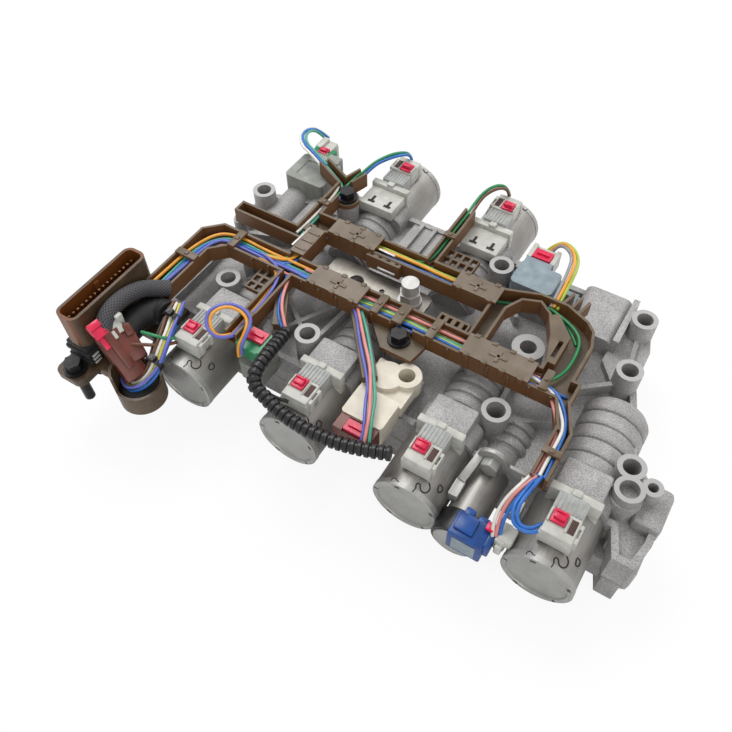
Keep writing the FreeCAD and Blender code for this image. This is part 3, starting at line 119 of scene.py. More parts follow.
@dataclass(frozen=True)
class Finish:
    """A surface finish: moulded plastic with a fine spark-eroded grain unless a subclass says more.

    The grain gives the eye a soft, slightly broken highlight and faint tone changes.
    """

    name: str
    colour: str
    shade: str
    roughness: float = 0.45
    metallic: float = 0.0
    grain: float = 0.5 * MM
    relief: float = 0.012 * MM
    cloud: float = 9.0 * MM
    specular: float = 0.4

    def material(self) -> bpy.types.Material:
        """Makes the material once and gives the same one afterwards.

        Returns:
            The finish's material.
        """
        known = bpy.data.materials.get(self.name)
        if known:
            return known
        made = bpy.data.materials.new(self.name)
        made.use_nodes = True
        tree = made.node_tree
        shader = tree.nodes["Principled BSDF"]
        shader.inputs["Roughness"].default_value = self.roughness
        shader.inputs["Metallic"].default_value = self.metallic
        if self.metallic < 0.5:
            shader.inputs["Specular IOR Level"].default_value = self.specular
        self.build(tree, shader)
        return made

    def build(self, tree: bpy.types.NodeTree, shader: bpy.types.Node) -> None:
        """Adds the finish's own pattern to its shader.

        Args:
            tree: The material's node tree.
            shader: Its Principled shader.
        """
        place = {"Vector": add_node(tree, "ShaderNodeTexCoord").outputs["Object"]}
        cloud = add_node(
            tree, "ShaderNodeTexNoise", values={"Scale": 1 / self.cloud, "Detail": 4.0}, links=place
        )
        colour = add_node(
            tree, "ShaderNodeValToRGB", links={"Fac": cloud.outputs["Fac"]},
            stops=((0.32, self.shade), (0.68, self.colour)),
        )
        grain = add_node(
            tree, "ShaderNodeTexNoise", values={"Scale": 1 / self.grain, "Detail": 2.0}, links=place
        )
        bump = add_node(
            tree, "ShaderNodeBump", values={"Distance": self.relief, "Strength": 0.8},
            links={"Height": grain.outputs["Fac"]},
        )
        feed(tree, shader, {"Base Color": colour.outputs["Color"], "Normal": bump.outputs["Normal"]})


@dataclass(frozen=True)
class CastAluminium(Finish):
    """Die-cast aluminium, shot-blasted: a light grey, sandy skin with tiny pits darkened by painted shade
    and high grains lit by painted glints.

    Bolt faces are milled smooth, which shows as a paler, shinier top on each boss.
    """

    # The darkest speckle colour is painted shade in the pits, and the lightest, glint, is a painted glint
    # on the high grains.
    pit_shade: str = "#77777A"
    glint: str = "#CDCDCE"
    milled: str = "#A3A2A1"
    milled_height: float = 56.0 * MM
    milled_roughness: float = 0.52

    def build(self, tree: bpy.types.NodeTree, shader: bpy.types.Node) -> None:
        """Adds mottling, a speckle with painted shade in the pits and painted glints on the grains, a sandy
        bump and the milled faces.

        Args:
            tree: The material's node tree.
            shader: Its Principled shader.
        """
        place = add_node(tree, "ShaderNodeTexCoord").outputs["Object"]
        grit = add_node(
            tree, "ShaderNodeTexNoise", values={"Scale": 1 / self.grain, "Detail": 5.0, "Roughness": 0.65},
            links={"Vector": place},
        )
        cloud = add_node(
            tree, "ShaderNodeTexNoise", values={"Scale": 1 / self.cloud, "Detail": 3.0},
            links={"Vector": place},
        )
        # Colour follows the same noise as the bump: painted shade low, a painted glint high, and the
        # grain's own tone between.
        sand = add_node(
            tree, "ShaderNodeValToRGB", links={"Fac": grit.outputs["Fac"]},
            stops=((0.33, self.pit_shade), (0.43, self.shade), (0.56, self.colour), (0.72, self.glint)),
        )
        tone = add_node(
            tree, "ShaderNodeValToRGB", links={"Fac": cloud.outputs["Fac"]},
            stops=((0.3, "#CFCFCF"), (0.7, "#FFFFFF")),
        )
        skin = add_node(
            tree, "ShaderNodeMix", {"data_type": "RGBA", "blend_type": "MULTIPLY"}, {"Factor": 0.75},
            {6: sand.outputs["Color"], 7: tone.outputs["Color"]},
        )
        height = add_node(tree, "ShaderNodeSeparateXYZ", links={"Vector": place})
        near = add_node(
            tree, "ShaderNodeMath", {"operation": "COMPARE"}, {1: self.milled_height, 2: 0.05 * MM},
            {0: height.outputs["Z"]},
        ).outputs["Value"]
        colour = add_node(
            tree, "ShaderNodeMix", {"data_type": "RGBA"}, {7: linear(self.milled)},
            {"Factor": near, 6: skin.outputs[2]},
        )
        rough = add_node(
            tree, "ShaderNodeMapRange", values={"To Min": self.roughness, "To Max": self.milled_roughness},
            links={"Value": near},
        )
        bump = add_node(
            tree, "ShaderNodeBump", values={"Distance": self.relief, "Strength": 1.0},
            links={"Height": grit.outputs["Fac"]},
        )
        feed(tree, shader, {
            "Base Color": colour.outputs[2], "Roughness": rough.outputs["Result"],
            "Normal": bump.outputs["Normal"],
        })


@dataclass(frozen=True)
class DrawnSteel(Finish):
    """Deep-drawn, zinc-plated steel: long, faint draw lines along Y and cloudy plating.

    The lines run with the can's axis and stretch the highlight across it.
    """

    line: float = 0.5 * MM
    stretch: float = 40.0

    def build(self, tree: bpy.types.NodeTree, shader: bpy.types.Node) -> None:
        """Adds draw lines, cloudy plating and a light scuffed roughness.

        Args:
            tree: The material's node tree.
            shader: Its Principled shader.
        """
        place = add_node(tree, "ShaderNodeTexCoord").outputs["Object"]
        mapping = add_node(
            tree, "ShaderNodeMapping", values={"Scale": (1.0, 1 / self.stretch, 1.0)},
            links={"Vector": place},
        )
        lines = add_node(
            tree, "ShaderNodeTexNoise", values={"Scale": 1 / self.line, "Detail": 3.0},
            links={"Vector": mapping.outputs["Vector"]},
        )
        cloud = add_node(
            tree, "ShaderNodeTexNoise", values={"Scale": 1 / self.cloud, "Detail": 5.0, "Roughness": 0.6},
            links={"Vector": place},
        )
        plating = add_node(
            tree, "ShaderNodeValToRGB", links={"Fac": cloud.outputs["Fac"]},
            stops=((0.3, self.shade), (0.65, self.colour)),
        )
        streak = add_node(
            tree, "ShaderNodeValToRGB", links={"Fac": lines.outputs["Fac"]},
            stops=((0.3, "#D2D2D2"), (0.7, "#FFFFFF")),
        )
        colour = add_node(
            tree, "ShaderNodeMix", {"data_type": "RGBA", "blend_type": "MULTIPLY"}, {"Factor": 0.6},
            {6: plating.outputs["Color"], 7: streak.outputs["Color"]},
        )
        rough = add_node(
            tree, "ShaderNodeMapRange",
            values={"To Min": self.roughness - 0.08, "To Max": self.roughness + 0.1},
            links={"Value": cloud.outputs["Fac"]},
        )
        bump = add_node(
            tree, "ShaderNodeBump", values={"Distance": self.relief, "Strength": 0.6},
            links={"Height": lines.outputs["Fac"]},
        )
        feed(tree, shader, {
            "Base Color": colour.outputs[2], "Roughness": rough.outputs["Result"],
            "Normal": bump.outputs["Normal"],
        })


@dataclass(frozen=True)
class Braid(Finish):
    """A woven sleeve: crossing bundles of dull thread that catch the light in a diamond pattern."""

    turns: float = 15.0
    strands: float = 3000.0

    def build(self, tree: bpy.types.NodeTree, shader: bpy.types.Node) -> None:
        """Crosses two sets of slanted bands over the tube's own map.

        Args:
            tree: The material's node tree.
            shader: Its Principled shader.
        """
        flat = add_node(tree, "ShaderNodeUVMap", {"uv_map": "weave"})
        split = add_node(tree, "ShaderNodeSeparateXYZ", links={"Vector": flat.outputs["UV"]})
        waves = {}
        for number, way in enumerate((1.0, -1.0)):
            around = add_node(
                tree, "ShaderNodeMath", {"operation": "MULTIPLY"}, {1: way * self.turns * math.tau},
                {0: split.outputs["X"]},
            )
            along = add_node(
                tree, "ShaderNodeMath", {"operation": "MULTIPLY_ADD"}, {1: self.strands},
                {0: split.outputs["Y"], 2: around.outputs["Value"]},
            )
            wave = add_node(
                tree, "ShaderNodeMath", {"operation": "SINE"}, links={0: along.outputs["Value"]}
            )
            waves[number] = wave.outputs["Value"]
        over = add_node(tree, "ShaderNodeMath", {"operation": "MAXIMUM"}, links=waves)
        height = add_node(
            tree, "ShaderNodeMapRange", values={"From Min": -0.6, "From Max": 1.0},
            links={"Value": over.outputs["Value"]},
        )
        # Colour follows the weave's height: painted shade down the threads into the gaps, and a painted
        # highlight on their crowns.
        colour = add_node(
            tree, "ShaderNodeValToRGB", links={"Fac": height.outputs["Result"]},
            stops=((0.2, self.shade), (0.9, self.colour)),
        )
        bump = add_node(
            tree, "ShaderNodeBump", values={"Distance": 0.2 * MM, "Strength": 1.0},
            links={"Height": height.outputs["Result"]},
        )
        feed(tree, shader, {"Base Color": colour.outputs["Color"], "Normal": bump.outputs["Normal"]})


@dataclass(frozen=True)
class FrameNylon(Finish):
    """The wiring frame's nylon: muted olive brown on level faces, with painted shade, darker and warmer, on
    its upright walls.
    """

    # Colour of the upright walls: the nylon under painted shade, darker and warmer.
    wall: str = "#684628"

    def build(self, tree: bpy.types.NodeTree, shader: bpy.types.Node) -> None:
        """Adds the moulded grain, then paints shade on the upright faces, darker and warmer.

        Args:
            tree: The material's node tree.
            shader: Its Principled shader.
        """
        super().build(tree, shader)
        base = shader.inputs["Base Color"].links[0].from_socket
        # Upright faces, found by the true normal, take the painted shade.
        normal = add_node(tree, "ShaderNodeNewGeometry").outputs["True Normal"]
        split = add_node(tree, "ShaderNodeSeparateXYZ", links={"Vector": normal})
        level = add_node(
            tree, "ShaderNodeMath", {"operation": "ABSOLUTE"}, links={0: split.outputs["Z"]}
        )
        upright = add_node(
            tree, "ShaderNodeMapRange", values={"From Min": 0.75, "From Max": 0.25},
            links={"Value": level.outputs["Value"]},
        )
        painted_light_tint = add_node(
            tree, "ShaderNodeMix", {"data_type": "RGBA"}, {7: linear(self.wall)},
            {"Factor": upright.outputs["Result"], 6: base},
        )
        feed(tree, shader, {"Base Color": painted_light_tint.outputs[2]})


@dataclass(frozen=True)
class ShroudNylon(Finish):
    """The case connector's nylon: dull brown outside, and warmer where light fills its mouth."""

    warm: str = "#6A3C18"
    middle_x: float = -159.0 * MM
    inner: float = 5.5 * MM
    floor: float = 60.0 * MM

    def build(self, tree: bpy.types.NodeTree, shader: bpy.types.Node) -> None:
        """Adds the moulded grain, then tints the walls inside the mouth.

        Args:
            tree: The material's node tree.
            shader: Its Principled shader.
        """
        super().build(tree, shader)
        base = shader.inputs["Base Color"].links[0].from_socket
        place = add_node(tree, "ShaderNodeTexCoord").outputs["Object"]
        split = add_node(tree, "ShaderNodeSeparateXYZ", links={"Vector": place})
        near = add_node(
            tree, "ShaderNodeMath", {"operation": "COMPARE"},
            {1: self.middle_x, 2: self.inner + 0.25 * MM}, {0: split.outputs["X"]},
        )
        high = add_node(
            tree, "ShaderNodeMath", {"operation": "GREATER_THAN"}, {1: self.floor}, {0: split.outputs["Z"]}
        )
        inside = add_node(
            tree, "ShaderNodeMath", {"operation": "MULTIPLY"},
            links={0: near.outputs["Value"], 1: high.outputs["Value"]},
        )
        painted_light_tint = add_node(
            tree, "ShaderNodeMix", {"data_type": "RGBA"}, {7: linear(self.warm)},
            {"Factor": inside.outputs["Value"], 6: base},
        )
        feed(tree, shader, {"Base Color": painted_light_tint.outputs[2]})


class Palette:
    """Every finish of the valve body, named for the real material."""

    casting = CastAluminium(
        "die_cast_aluminium", "#B2B0AF", "#9A9897", roughness=0.6, metallic=0.25,
        grain=0.6 * MM, relief=0.09 * MM, cloud=14 * MM,
    )
    bright = DrawnSteel(
        "bright_zinc_stud", "#C6C5C2", "#AFAEAA", roughness=0.4, metallic=0.5, cloud=6 * MM
    )
    can = DrawnSteel(
        "zinc_plated_can", "#A09D99", "#8A8783", roughness=0.42, metallic=0.65,
        relief=0.01 * MM, cloud=16 * MM,
    )
    cap = DrawnSteel(
        "zinc_plated_cap", "#ADADAA", "#9A9996", roughness=0.45, metallic=0.5,
        relief=0.006 * MM, cloud=12 * MM,
    )
    sheet = DrawnSteel(
        "zinc_plated_sheet", "#A19D95", "#85827B", roughness=0.36, metallic=0.85,
        relief=0.008 * MM, cloud=10 * MM,
    )
    valve = DrawnSteel(
        "anodised_valve_alloy", "#8E9296", "#777B80", roughness=0.3, metallic=0.9,
        relief=0.004 * MM, cloud=6 * MM,
    )
    wire_steel = DrawnSteel(
        "spring_wire_steel", "#7E7E80", "#66666A", roughness=0.3, metallic=0.95,
        relief=0.004 * MM, cloud=4 * MM,
    )
    frame_nylon = FrameNylon(
        "glass_filled_nylon_brown", "#695B49", "#574A3A", roughness=0.42, relief=0.02 * MM
    )
    cover_nylon = FrameNylon(
        "glass_filled_nylon_tan", "#75675A", "#635747", roughness=0.42, relief=0.02 * MM
    )
    shroud_nylon = ShroudNylon("nylon_shroud_brown", "#54432F", "#3E3021", roughness=0.4)
    cup_nylon = Finish("nylon_cup_brown", "#5E4D3A", "#4A3B2B", roughness=0.4, relief=0.02 * MM)
    pin_bronze = Finish("bronze_pin", "#8A6242", "#6A4527", roughness=0.35, metallic=0.7, cloud=2 * MM)
    lever_nylon = Finish("nylon_red_brown", "#6E362B", "#552619", roughness=0.34)
    ivory = Finish("pbt_ivory", "#C0C0B9", "#AEAEA6", roughness=0.4, cloud=5 * MM)
    pale_grey = Finish("pbt_pale_grey", "#A9ABA8", "#989A97", roughness=0.42, cloud=4 * MM)
    # Dark plate colour that stands for the plug's slot: painted shade.
    painted_slot_shade = Finish("slot_shadow", "#4A2E26", "#33201A", roughness=0.6, cloud=3 * MM)
    red = Finish("polyamide_red", "#D8224C", "#BE1A40", roughness=0.28, cloud=4 * MM)
    green = Finish("polyamide_green", "#1E8C5A", "#167348", roughness=0.3, cloud=4 * MM)
    blue = Finish("polyamide_blue", "#0B4690", "#083872", roughness=0.32, cloud=5 * MM)
    cream = Finish("pps_cream", "#DAD3C4", "#C9C0B0", roughness=0.42, cloud=7 * MM)
    blue_grey = Finish("pbt_blue_grey", "#8C9AA2", "#76848C", roughness=0.4, cloud=6 * MM)
    grey = Finish("pps_grey", "#94968F", "#7C7E79", roughness=0.42, cloud=6 * MM)
    black = Finish("polyamide_black", "#201E20", "#141314", roughness=0.34, cloud=4 * MM)
    black_steel = Finish(
        "black_phosphate_steel", "#2A282A", "#1A191A", roughness=0.4, metallic=0.6, cloud=3 * MM
    )
    rubber = Finish("soft_rubber", "#1C1B1C", "#121112", roughness=0.62, cloud=4 * MM)
    braid = Braid("polyester_braid", "#4A494D", "#1F1E20", roughness=0.6)
    olive = Finish("olive_seal", "#6F7A4C", "#5A643C", roughness=0.5, cloud=3 * MM)
    # Dark joint lines of the can seams, and painted shade in the towers' terminal slots.
    seam = Finish("joint_line_and_slot_shade", "#2A2928", "#1D1C1B", roughness=0.7, cloud=2 * MM)


def insulation(name: str, colour: str, shade: str) -> Finish:
    """A wire's plastic skin: plain, smooth and softly shiny, as extruded insulation is."""
    return Finish(f"insulation_{name}", colour, shade, roughness=0.32, relief=0.002 * MM, cloud=8 * MM)


class Wire(Enum):
    """The colours of the harness's single wires."""

    AMBER = insulation("amber", "#E6A23C", "#D8922C")
    VIOLET = insulation("violet", "#6A6FC0", "#5B5FAF")
    TEAL = insulation("teal", "#4FA38C", "#43927C")
    BLUE = insulation("blue", "#2F6FC0", "#2560AC")
    WHITE = insulation("white", "#E2E0D8", "#D2D0C8")
    PINK = insulation("pink", "#D98E88", "#C97E78")
    BROWN = insulation("brown", "#6E4A34", "#5C3C28")
    LIME = insulation("lime", "#A9BE4A", "#97AC3C")
    YELLOW = insulation("yellow", "#D8CC4E", "#C6BA40")
    BLACK = insulation("black", "#262427", "#1A191B")
    GREEN = insulation("green", "#2E8B57", "#247A4A")
    GREY = insulation("grey", "#9A9CA0", "#86888C")


NODE_FINISH: dict[str, Finish] = {
    "upper_casting": Palette.casting,
    "lower_casting": Palette.casting,
    "separator_plate": Palette.sheet,
    "centre_plate": Palette.sheet,
    "centre_stud": Palette.bright,
    "retaining_straps": Palette.sheet,
    "return_springs": Palette.wire_steel,
    "solenoid_towers": Palette.ivory,
    "solenoid_plugs": Palette.ivory,
    "small_solenoid": Palette.can,
    "small_solenoid_head": Palette.blue,
    "small_solenoid_plug": Palette.ivory,
    "small_solenoid_lock": Palette.red,
    "pressure_sensor": Palette.cream,
    "sensor_plug": Palette.lever_nylon,
    "sensor_lock": Palette.red,
    "speed_sensor": Palette.blue_grey,
    "speed_sensor_plug": Palette.ivory,
    "speed_sensor_lock": Palette.red,
    "side_valve": Palette.grey,
    "side_plug": Palette.ivory,
    "side_lock": Palette.red,
    "pressure_switch": Palette.grey,
    "switch_plug": Palette.green,
    "switch_lock": Palette.red,
    "frame_bolts": Palette.black_steel,
    "harness_frame": Palette.frame_nylon,
    "rail_covers": Palette.cover_nylon,
    "connector_shroud": Palette.shroud_nylon,
    "connector_pins": Palette.pin_bronze,
    "connector_collar": Palette.rubber,
    "connector_bolts": Palette.black_steel,
    "wire_cup": Palette.cup_nylon,
    "lever_plug": Palette.lever_nylon,
    "lever_lock": Palette.red,
    "conduit": Palette.black,
    "braided_sleeve": Palette.braid,
    "harness_wires": Palette.black,
}
NODE_PREFIX_FINISH: dict[str, Finish] = {
    "solenoid_": Palette.can,
    "spool_": Palette.valve,
    "lock_": Palette.red,
}


def dress_nodes() -> None:
    """Gives every carried-over CAD node its finish."""
    for name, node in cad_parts.items():
        finish = NODE_FINISH.get(name)
        if finish is None:
            finish = next(
                made for start, made in NODE_PREFIX_FINISH.items() if name.startswith(start)
            )
        node.data.materials.clear()
        node.data.materials.append(finish.material())
    LOG.info("dressed %d nodes", len(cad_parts))


def only(piece: bpy.types.Object) -> None:
    """Makes one object the only selected and active one.

    Args:
        piece: The object.
    """
    for item in list(bpy.context.selected_objects):
        item.select_set(False)
    piece.select_set(True)
    bpy.context.view_layer.objects.active = piece


def settle(
    piece: bpy.types.Object,
    finish: Finish,
    replaced: Sequence[str] = (),
    body: str = BODY,
    angle: float = 35.0,
) -> bpy.types.Object:
    """Closes a new piece: its place applied, its faces outward, shaded, dressed and riding.

    Args:
        piece: The new mesh object.
        finish: What it is dressed in.
        replaced: The CAD nodes that it stands for.
        body: The body that carries it.
        angle: Edges flatter than this many degrees are shaded smooth.

    Returns:
        The same piece.
    """
    only(piece)
    bpy.ops.object.transform_apply(location=True, rotation=True, scale=True)
    bpy.ops.object.mode_set(mode="EDIT")
    bpy.ops.mesh.select_all(action="SELECT")
    bpy.ops.mesh.remove_doubles(threshold=WELD)
    bpy.ops.mesh.normals_make_consistent(inside=False)
    bpy.ops.object.mode_set(mode="OBJECT")
    bpy.ops.object.shade_smooth_by_angle(angle=math.radians(angle))
    piece.data.materials.clear()
    piece.data.materials.append(finish.material())
    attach(piece, body)
    if replaced:
        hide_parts(*replaced)
    return piece


def joined(pieces: Sequence[bpy.types.Object], name: str) -> bpy.types.Object:
    """Joins one or more new objects into one of the given name.

    Args:
        pieces: The objects, of which the first takes up the rest.
        name: The name of the whole.

    Returns:
        The joined object.
    """
    only(pieces[0])
    for item in pieces[1:]:
        item.select_set(True)
    if len(pieces) > 1:
        bpy.ops.object.join()
    pieces[0].name = name
    pieces[0].data.name = name
    return pieces[0]


def ease_edges(piece: bpy.types.Object, width: float) -> None:
    """Rounds a piece's sharp edges.

    Args:
        piece: The piece, already unturned and unscaled.
        width: The width of its rounded edges, in mm.
    """
    soften = piece.modifiers.new("ease", "BEVEL")
    soften.width = width * MM
    soften.segments = 2
    only(piece)
    bpy.ops.object.modifier_apply(modifier="ease")


def eased_block(low: Spot, high: Spot, ease: float = 0.4, inlay: float = 0.0) -> bpy.types.Object:
    """A block between two corners in mm with eased edges and, if wanted, a sunk top panel.

    Args:
        low: Its lowest corner, in mm.
        high: Its highest corner, in mm.
        ease: The width of its eased edges, in mm.
        inlay: How far in from the edge its top panel starts, in mm, or 0 for none.

    Returns:
        The new object.
    """
    middle = [(a + b) / 2 * MM for a, b in zip(low, high)]
    sides = [(b - a) * MM for a, b in zip(low, high)]
    bpy.ops.mesh.primitive_cube_add(size=1.0, location=middle, scale=sides)
    block = bpy.context.active_object
    bpy.ops.object.transform_apply(location=False, rotation=False, scale=True)
    if inlay:
        pick_faces(block, Vector((0, 0, 1)))
        bpy.ops.mesh.inset(thickness=inlay * MM)
        bpy.ops.transform.translate(value=(0, 0, -0.35 * inlay * MM))
        bpy.ops.object.mode_set(mode="OBJECT")
    ease_edges(block, ease)
    return block


def slanted_block(
    start: Spot, end: Spot, width: float, thick: float, ease: float = 0.5
) -> bpy.types.Object:
    """An eased block that runs between two points.

    Args:
        start: The middle of its first end, in mm.
        end: The middle of its other end, in mm.
        width: Its level width, in mm.
        thick: Its thickness, in mm.
        ease: The width of its eased edges, in mm.

    Returns:
        The new object.
    """
    first, last = Vector(start), Vector(end)
    run = last - first
    half = (run.length / 2, width / 2, thick / 2)
    block = eased_block(tuple(-value for value in half), half, ease)
    block.rotation_euler = run.to_track_quat("X", "Z").to_euler()
    block.location = (first + last) / 2 * MM
    bpy.ops.object.transform_apply(location=True, rotation=True, scale=True)
    return block


def blocks(rows: Rows) -> list[bpy.types.Object]:
    """One eased block for each row."""
    return [eased_block(*row) for row in rows]


def slants(rows: Rows) -> list[bpy.types.Object]:
    """One slanted block for each row."""
    return [slanted_block(*row) for row in rows]


def drum(
    radius: float, depth: float, centre: Spot, sides: int = 40, along_y: bool = False
) -> bpy.types.Object:
    """A drum to start a round piece from, with its place applied.

    Args:
        radius: Its radius, in mm.
        depth: Its length, in mm.
        centre: Its middle, in mm.
        sides: The number of its sides.
        along_y: Whether it lies along Y and not upright.

    Returns:
        The new object.
    """
    bpy.ops.mesh.primitive_cylinder_add(
        vertices=sides, radius=radius * MM, depth=depth * MM, location=[value * MM for value in centre],
        rotation=(math.pi / 2 if along_y else 0, 0, 0),
    )
    bpy.ops.object.transform_apply(location=True, rotation=True, scale=True)
    return bpy.context.active_object


def pick_faces(piece: bpy.types.Object, way: Vector) -> None:
    """Goes into edit mode with only the faces selected that look one way.

    Args:
        piece: The piece to edit.
        way: The direction that the faces look, of length 1.
    """
    only(piece)
    bpy.ops.object.mode_set(mode="EDIT")
    bpy.ops.mesh.select_mode(type="FACE")
    bpy.ops.mesh.select_all(action="DESELECT")
    mesh = bmesh.from_edit_mesh(piece.data)
    for face in mesh.faces:
        face.select_set(face.normal.dot(way) > 0.95)
    bmesh.update_edit_mesh(piece.data)


def route_curve(name: str, points: Sequence[Spot], radius: float) -> bpy.types.Object:
    """A smooth cord along a route.

    Args:
        name: The curve's name.
        points: The route's control points, in mm.
        radius: The cord's radius in mm, or 0 for a bare line.

    Returns:
        The curve object.
    """
    data = bpy.data.curves.new(name, "CURVE")
    data.dimensions = "3D"
    data.resolution_u = 8
    data.bevel_depth = radius * MM
    data.bevel_resolution = 3
    data.use_fill_caps = True
    spline = data.splines.new("NURBS")
    spline.points.add(len(points) - 1)
    for control, spot in zip(spline.points, points):
        control.co = (*(value * MM for value in spot), 1.0)
    spline.order_u = 3
    spline.use_endpoint_u = True
    item = bpy.data.objects.new(name, data)
    bpy.context.scene.collection.objects.link(item)
    return item


def as_mesh(curve: bpy.types.Object) -> bpy.types.Object:
    """Turns a curve object into a mesh object of the same name.

    Args:
        curve: The curve object.

    Returns:
        The mesh object.
    """
    only(curve)
    bpy.ops.object.convert(target="MESH")
    return bpy.context.active_object


def line_points(points: Sequence[Spot]) -> list[Vector]:
    """Follows the smooth line of a route in close steps.

    Args:
        points: The route's control points, in mm.

    Returns:
        Points along the line, in metres.
    """
    bare = route_curve("bare_line", points, 0.0)
    bare.data.resolution_u = 24
    mesh = bpy.data.meshes.new_from_object(bare.evaluated_get(bpy.context.evaluated_depsgraph_get()))
    spots = [vertex.co.copy() for vertex in mesh.vertices]
    bpy.data.objects.remove(bare)
    bpy.data.meshes.remove(mesh)
    return spots


def ringed_tube(
    name: str, points: Sequence[Spot], step: float, radii: Sequence[float], sides: int = 20
) -> bpy.types.Object:
    """A tube whose radius repeats along its route, such as a corrugated conduit.

    Args:
        name: The new object's name.
        points: The route's control points, in mm.
        step: The way from one ring of the mesh to the next, in mm.
        radii: The radii in mm, taken in turn and repeated.
        sides: The number of sides of its section.

    Returns:
        The new object, with a map named weave: around in 0 to 1, and along in metres.
    """
    line = line_points(points)
    lengths = [0.0]
    for before, after in zip(line, line[1:]):
        lengths.append(lengths[-1] + (after - before).length)
    count = max(2, round(lengths[-1] / (step * MM)))
    mesh = bmesh.new()
    weave = mesh.loops.layers.uv.new("weave")
    rings = []
    side = Vector((0.3, 0.1, 1.0))
    at = 0
    for number in range(count + 1):
        want = lengths[-1] * number / count
        while at < len(line) - 2 and lengths[at + 1] < want:
            at += 1
        run = line[at + 1] - line[at]
        share = (want - lengths[at]) / max(lengths[at + 1] - lengths[at], 1e-9)
        spot = line[at] + run * share
        forward = run.normalized()
        side = side - forward * forward.dot(side)
        side.normalize()
        across = forward.cross(side)
        radius = radii[number % len(radii)] * MM
        ring = []
        for k in range(sides):
            turn = math.tau * k / sides
            ring.append(mesh.verts.new(spot + (side * math.cos(turn) + across * math.sin(turn)) * radius))
        rings.append((ring, want))
    for (near, near_at), (far, far_at) in zip(rings, rings[1:]):
        for k in range(sides):
            corners = (near[k], near[(k + 1) % sides], far[(k + 1) % sides], far[k])
            face = mesh.faces.new(corners)
            marks = ((k, near_at), (k + 1, near_at), (k + 1, far_at), (k, far_at))
            for loop, (turn, along) in zip(face.loops, marks):
                loop[weave].uv = (turn / sides, along)
    mesh.faces.new(reversed(rings[0][0]))
    mesh.faces.new(rings[-1][0])
    data = bpy.data.meshes.new(name)
    mesh.to_mesh(data)
    mesh.free()
    tube = bpy.data.objects.new(name, data)
    bpy.context.scene.collection.objects.link(tube)
    return tube


@dataclass
class WireBundle:
    """Single wires that run side by side along one route."""

    name: str
    points: Sequence[Spot]
    wires: Sequence[Wire]
    pitch: float = 1.9
    lift: float = 0.8
    sway: float = 0.5
    radius: float = 0.95
    replaced: Sequence[str] = ()

    def wire_route(self, number: int) -> list[Spot]:
        """Sets one wire's route beside the bundle's own.

        Args:
            number: Which wire it is, counted from 0.

        Returns:
            The wire's control points, in mm.
        """
        middle = (len(self.wires) - 1) / 2
        offset = (number - middle) * self.pitch
        raised = self.lift * (((number * 2) % 3) - 1)
        spots = [Vector(point) for point in self.points]
        route = []
        for index, spot in enumerate(spots):
            run = spots[min(index + 1, len(spots) - 1)] - spots[max(index - 1, 0)]
            across = Vector((-run.y, run.x, 0.0))
            if across.length < 1e-6:
                across = Vector((1.0, 0.0, 0.0))
            across.normalize()
            # A slow waver, out of step from wire to wire, keeps the wires from looking ruled.
            waver = self.sway * math.sin(2.1 * index + 1.7 * number)
            route.append(tuple(spot + across * (offset + waver) + Vector((0, 0, raised + 0.4 * waver))))
        return route

    def build(self) -> None:
        """Lays every wire of the bundle."""
        for number, wire in enumerate(self.wires):
            cord = route_curve(f"{self.name}_{number}", self.wire_route(number), self.radius)
            settle(as_mesh(cord), wire.value, self.replaced, angle=CORD_SMOOTH)
        LOG.info("%s: %d wires", self.name, len(self.wires))


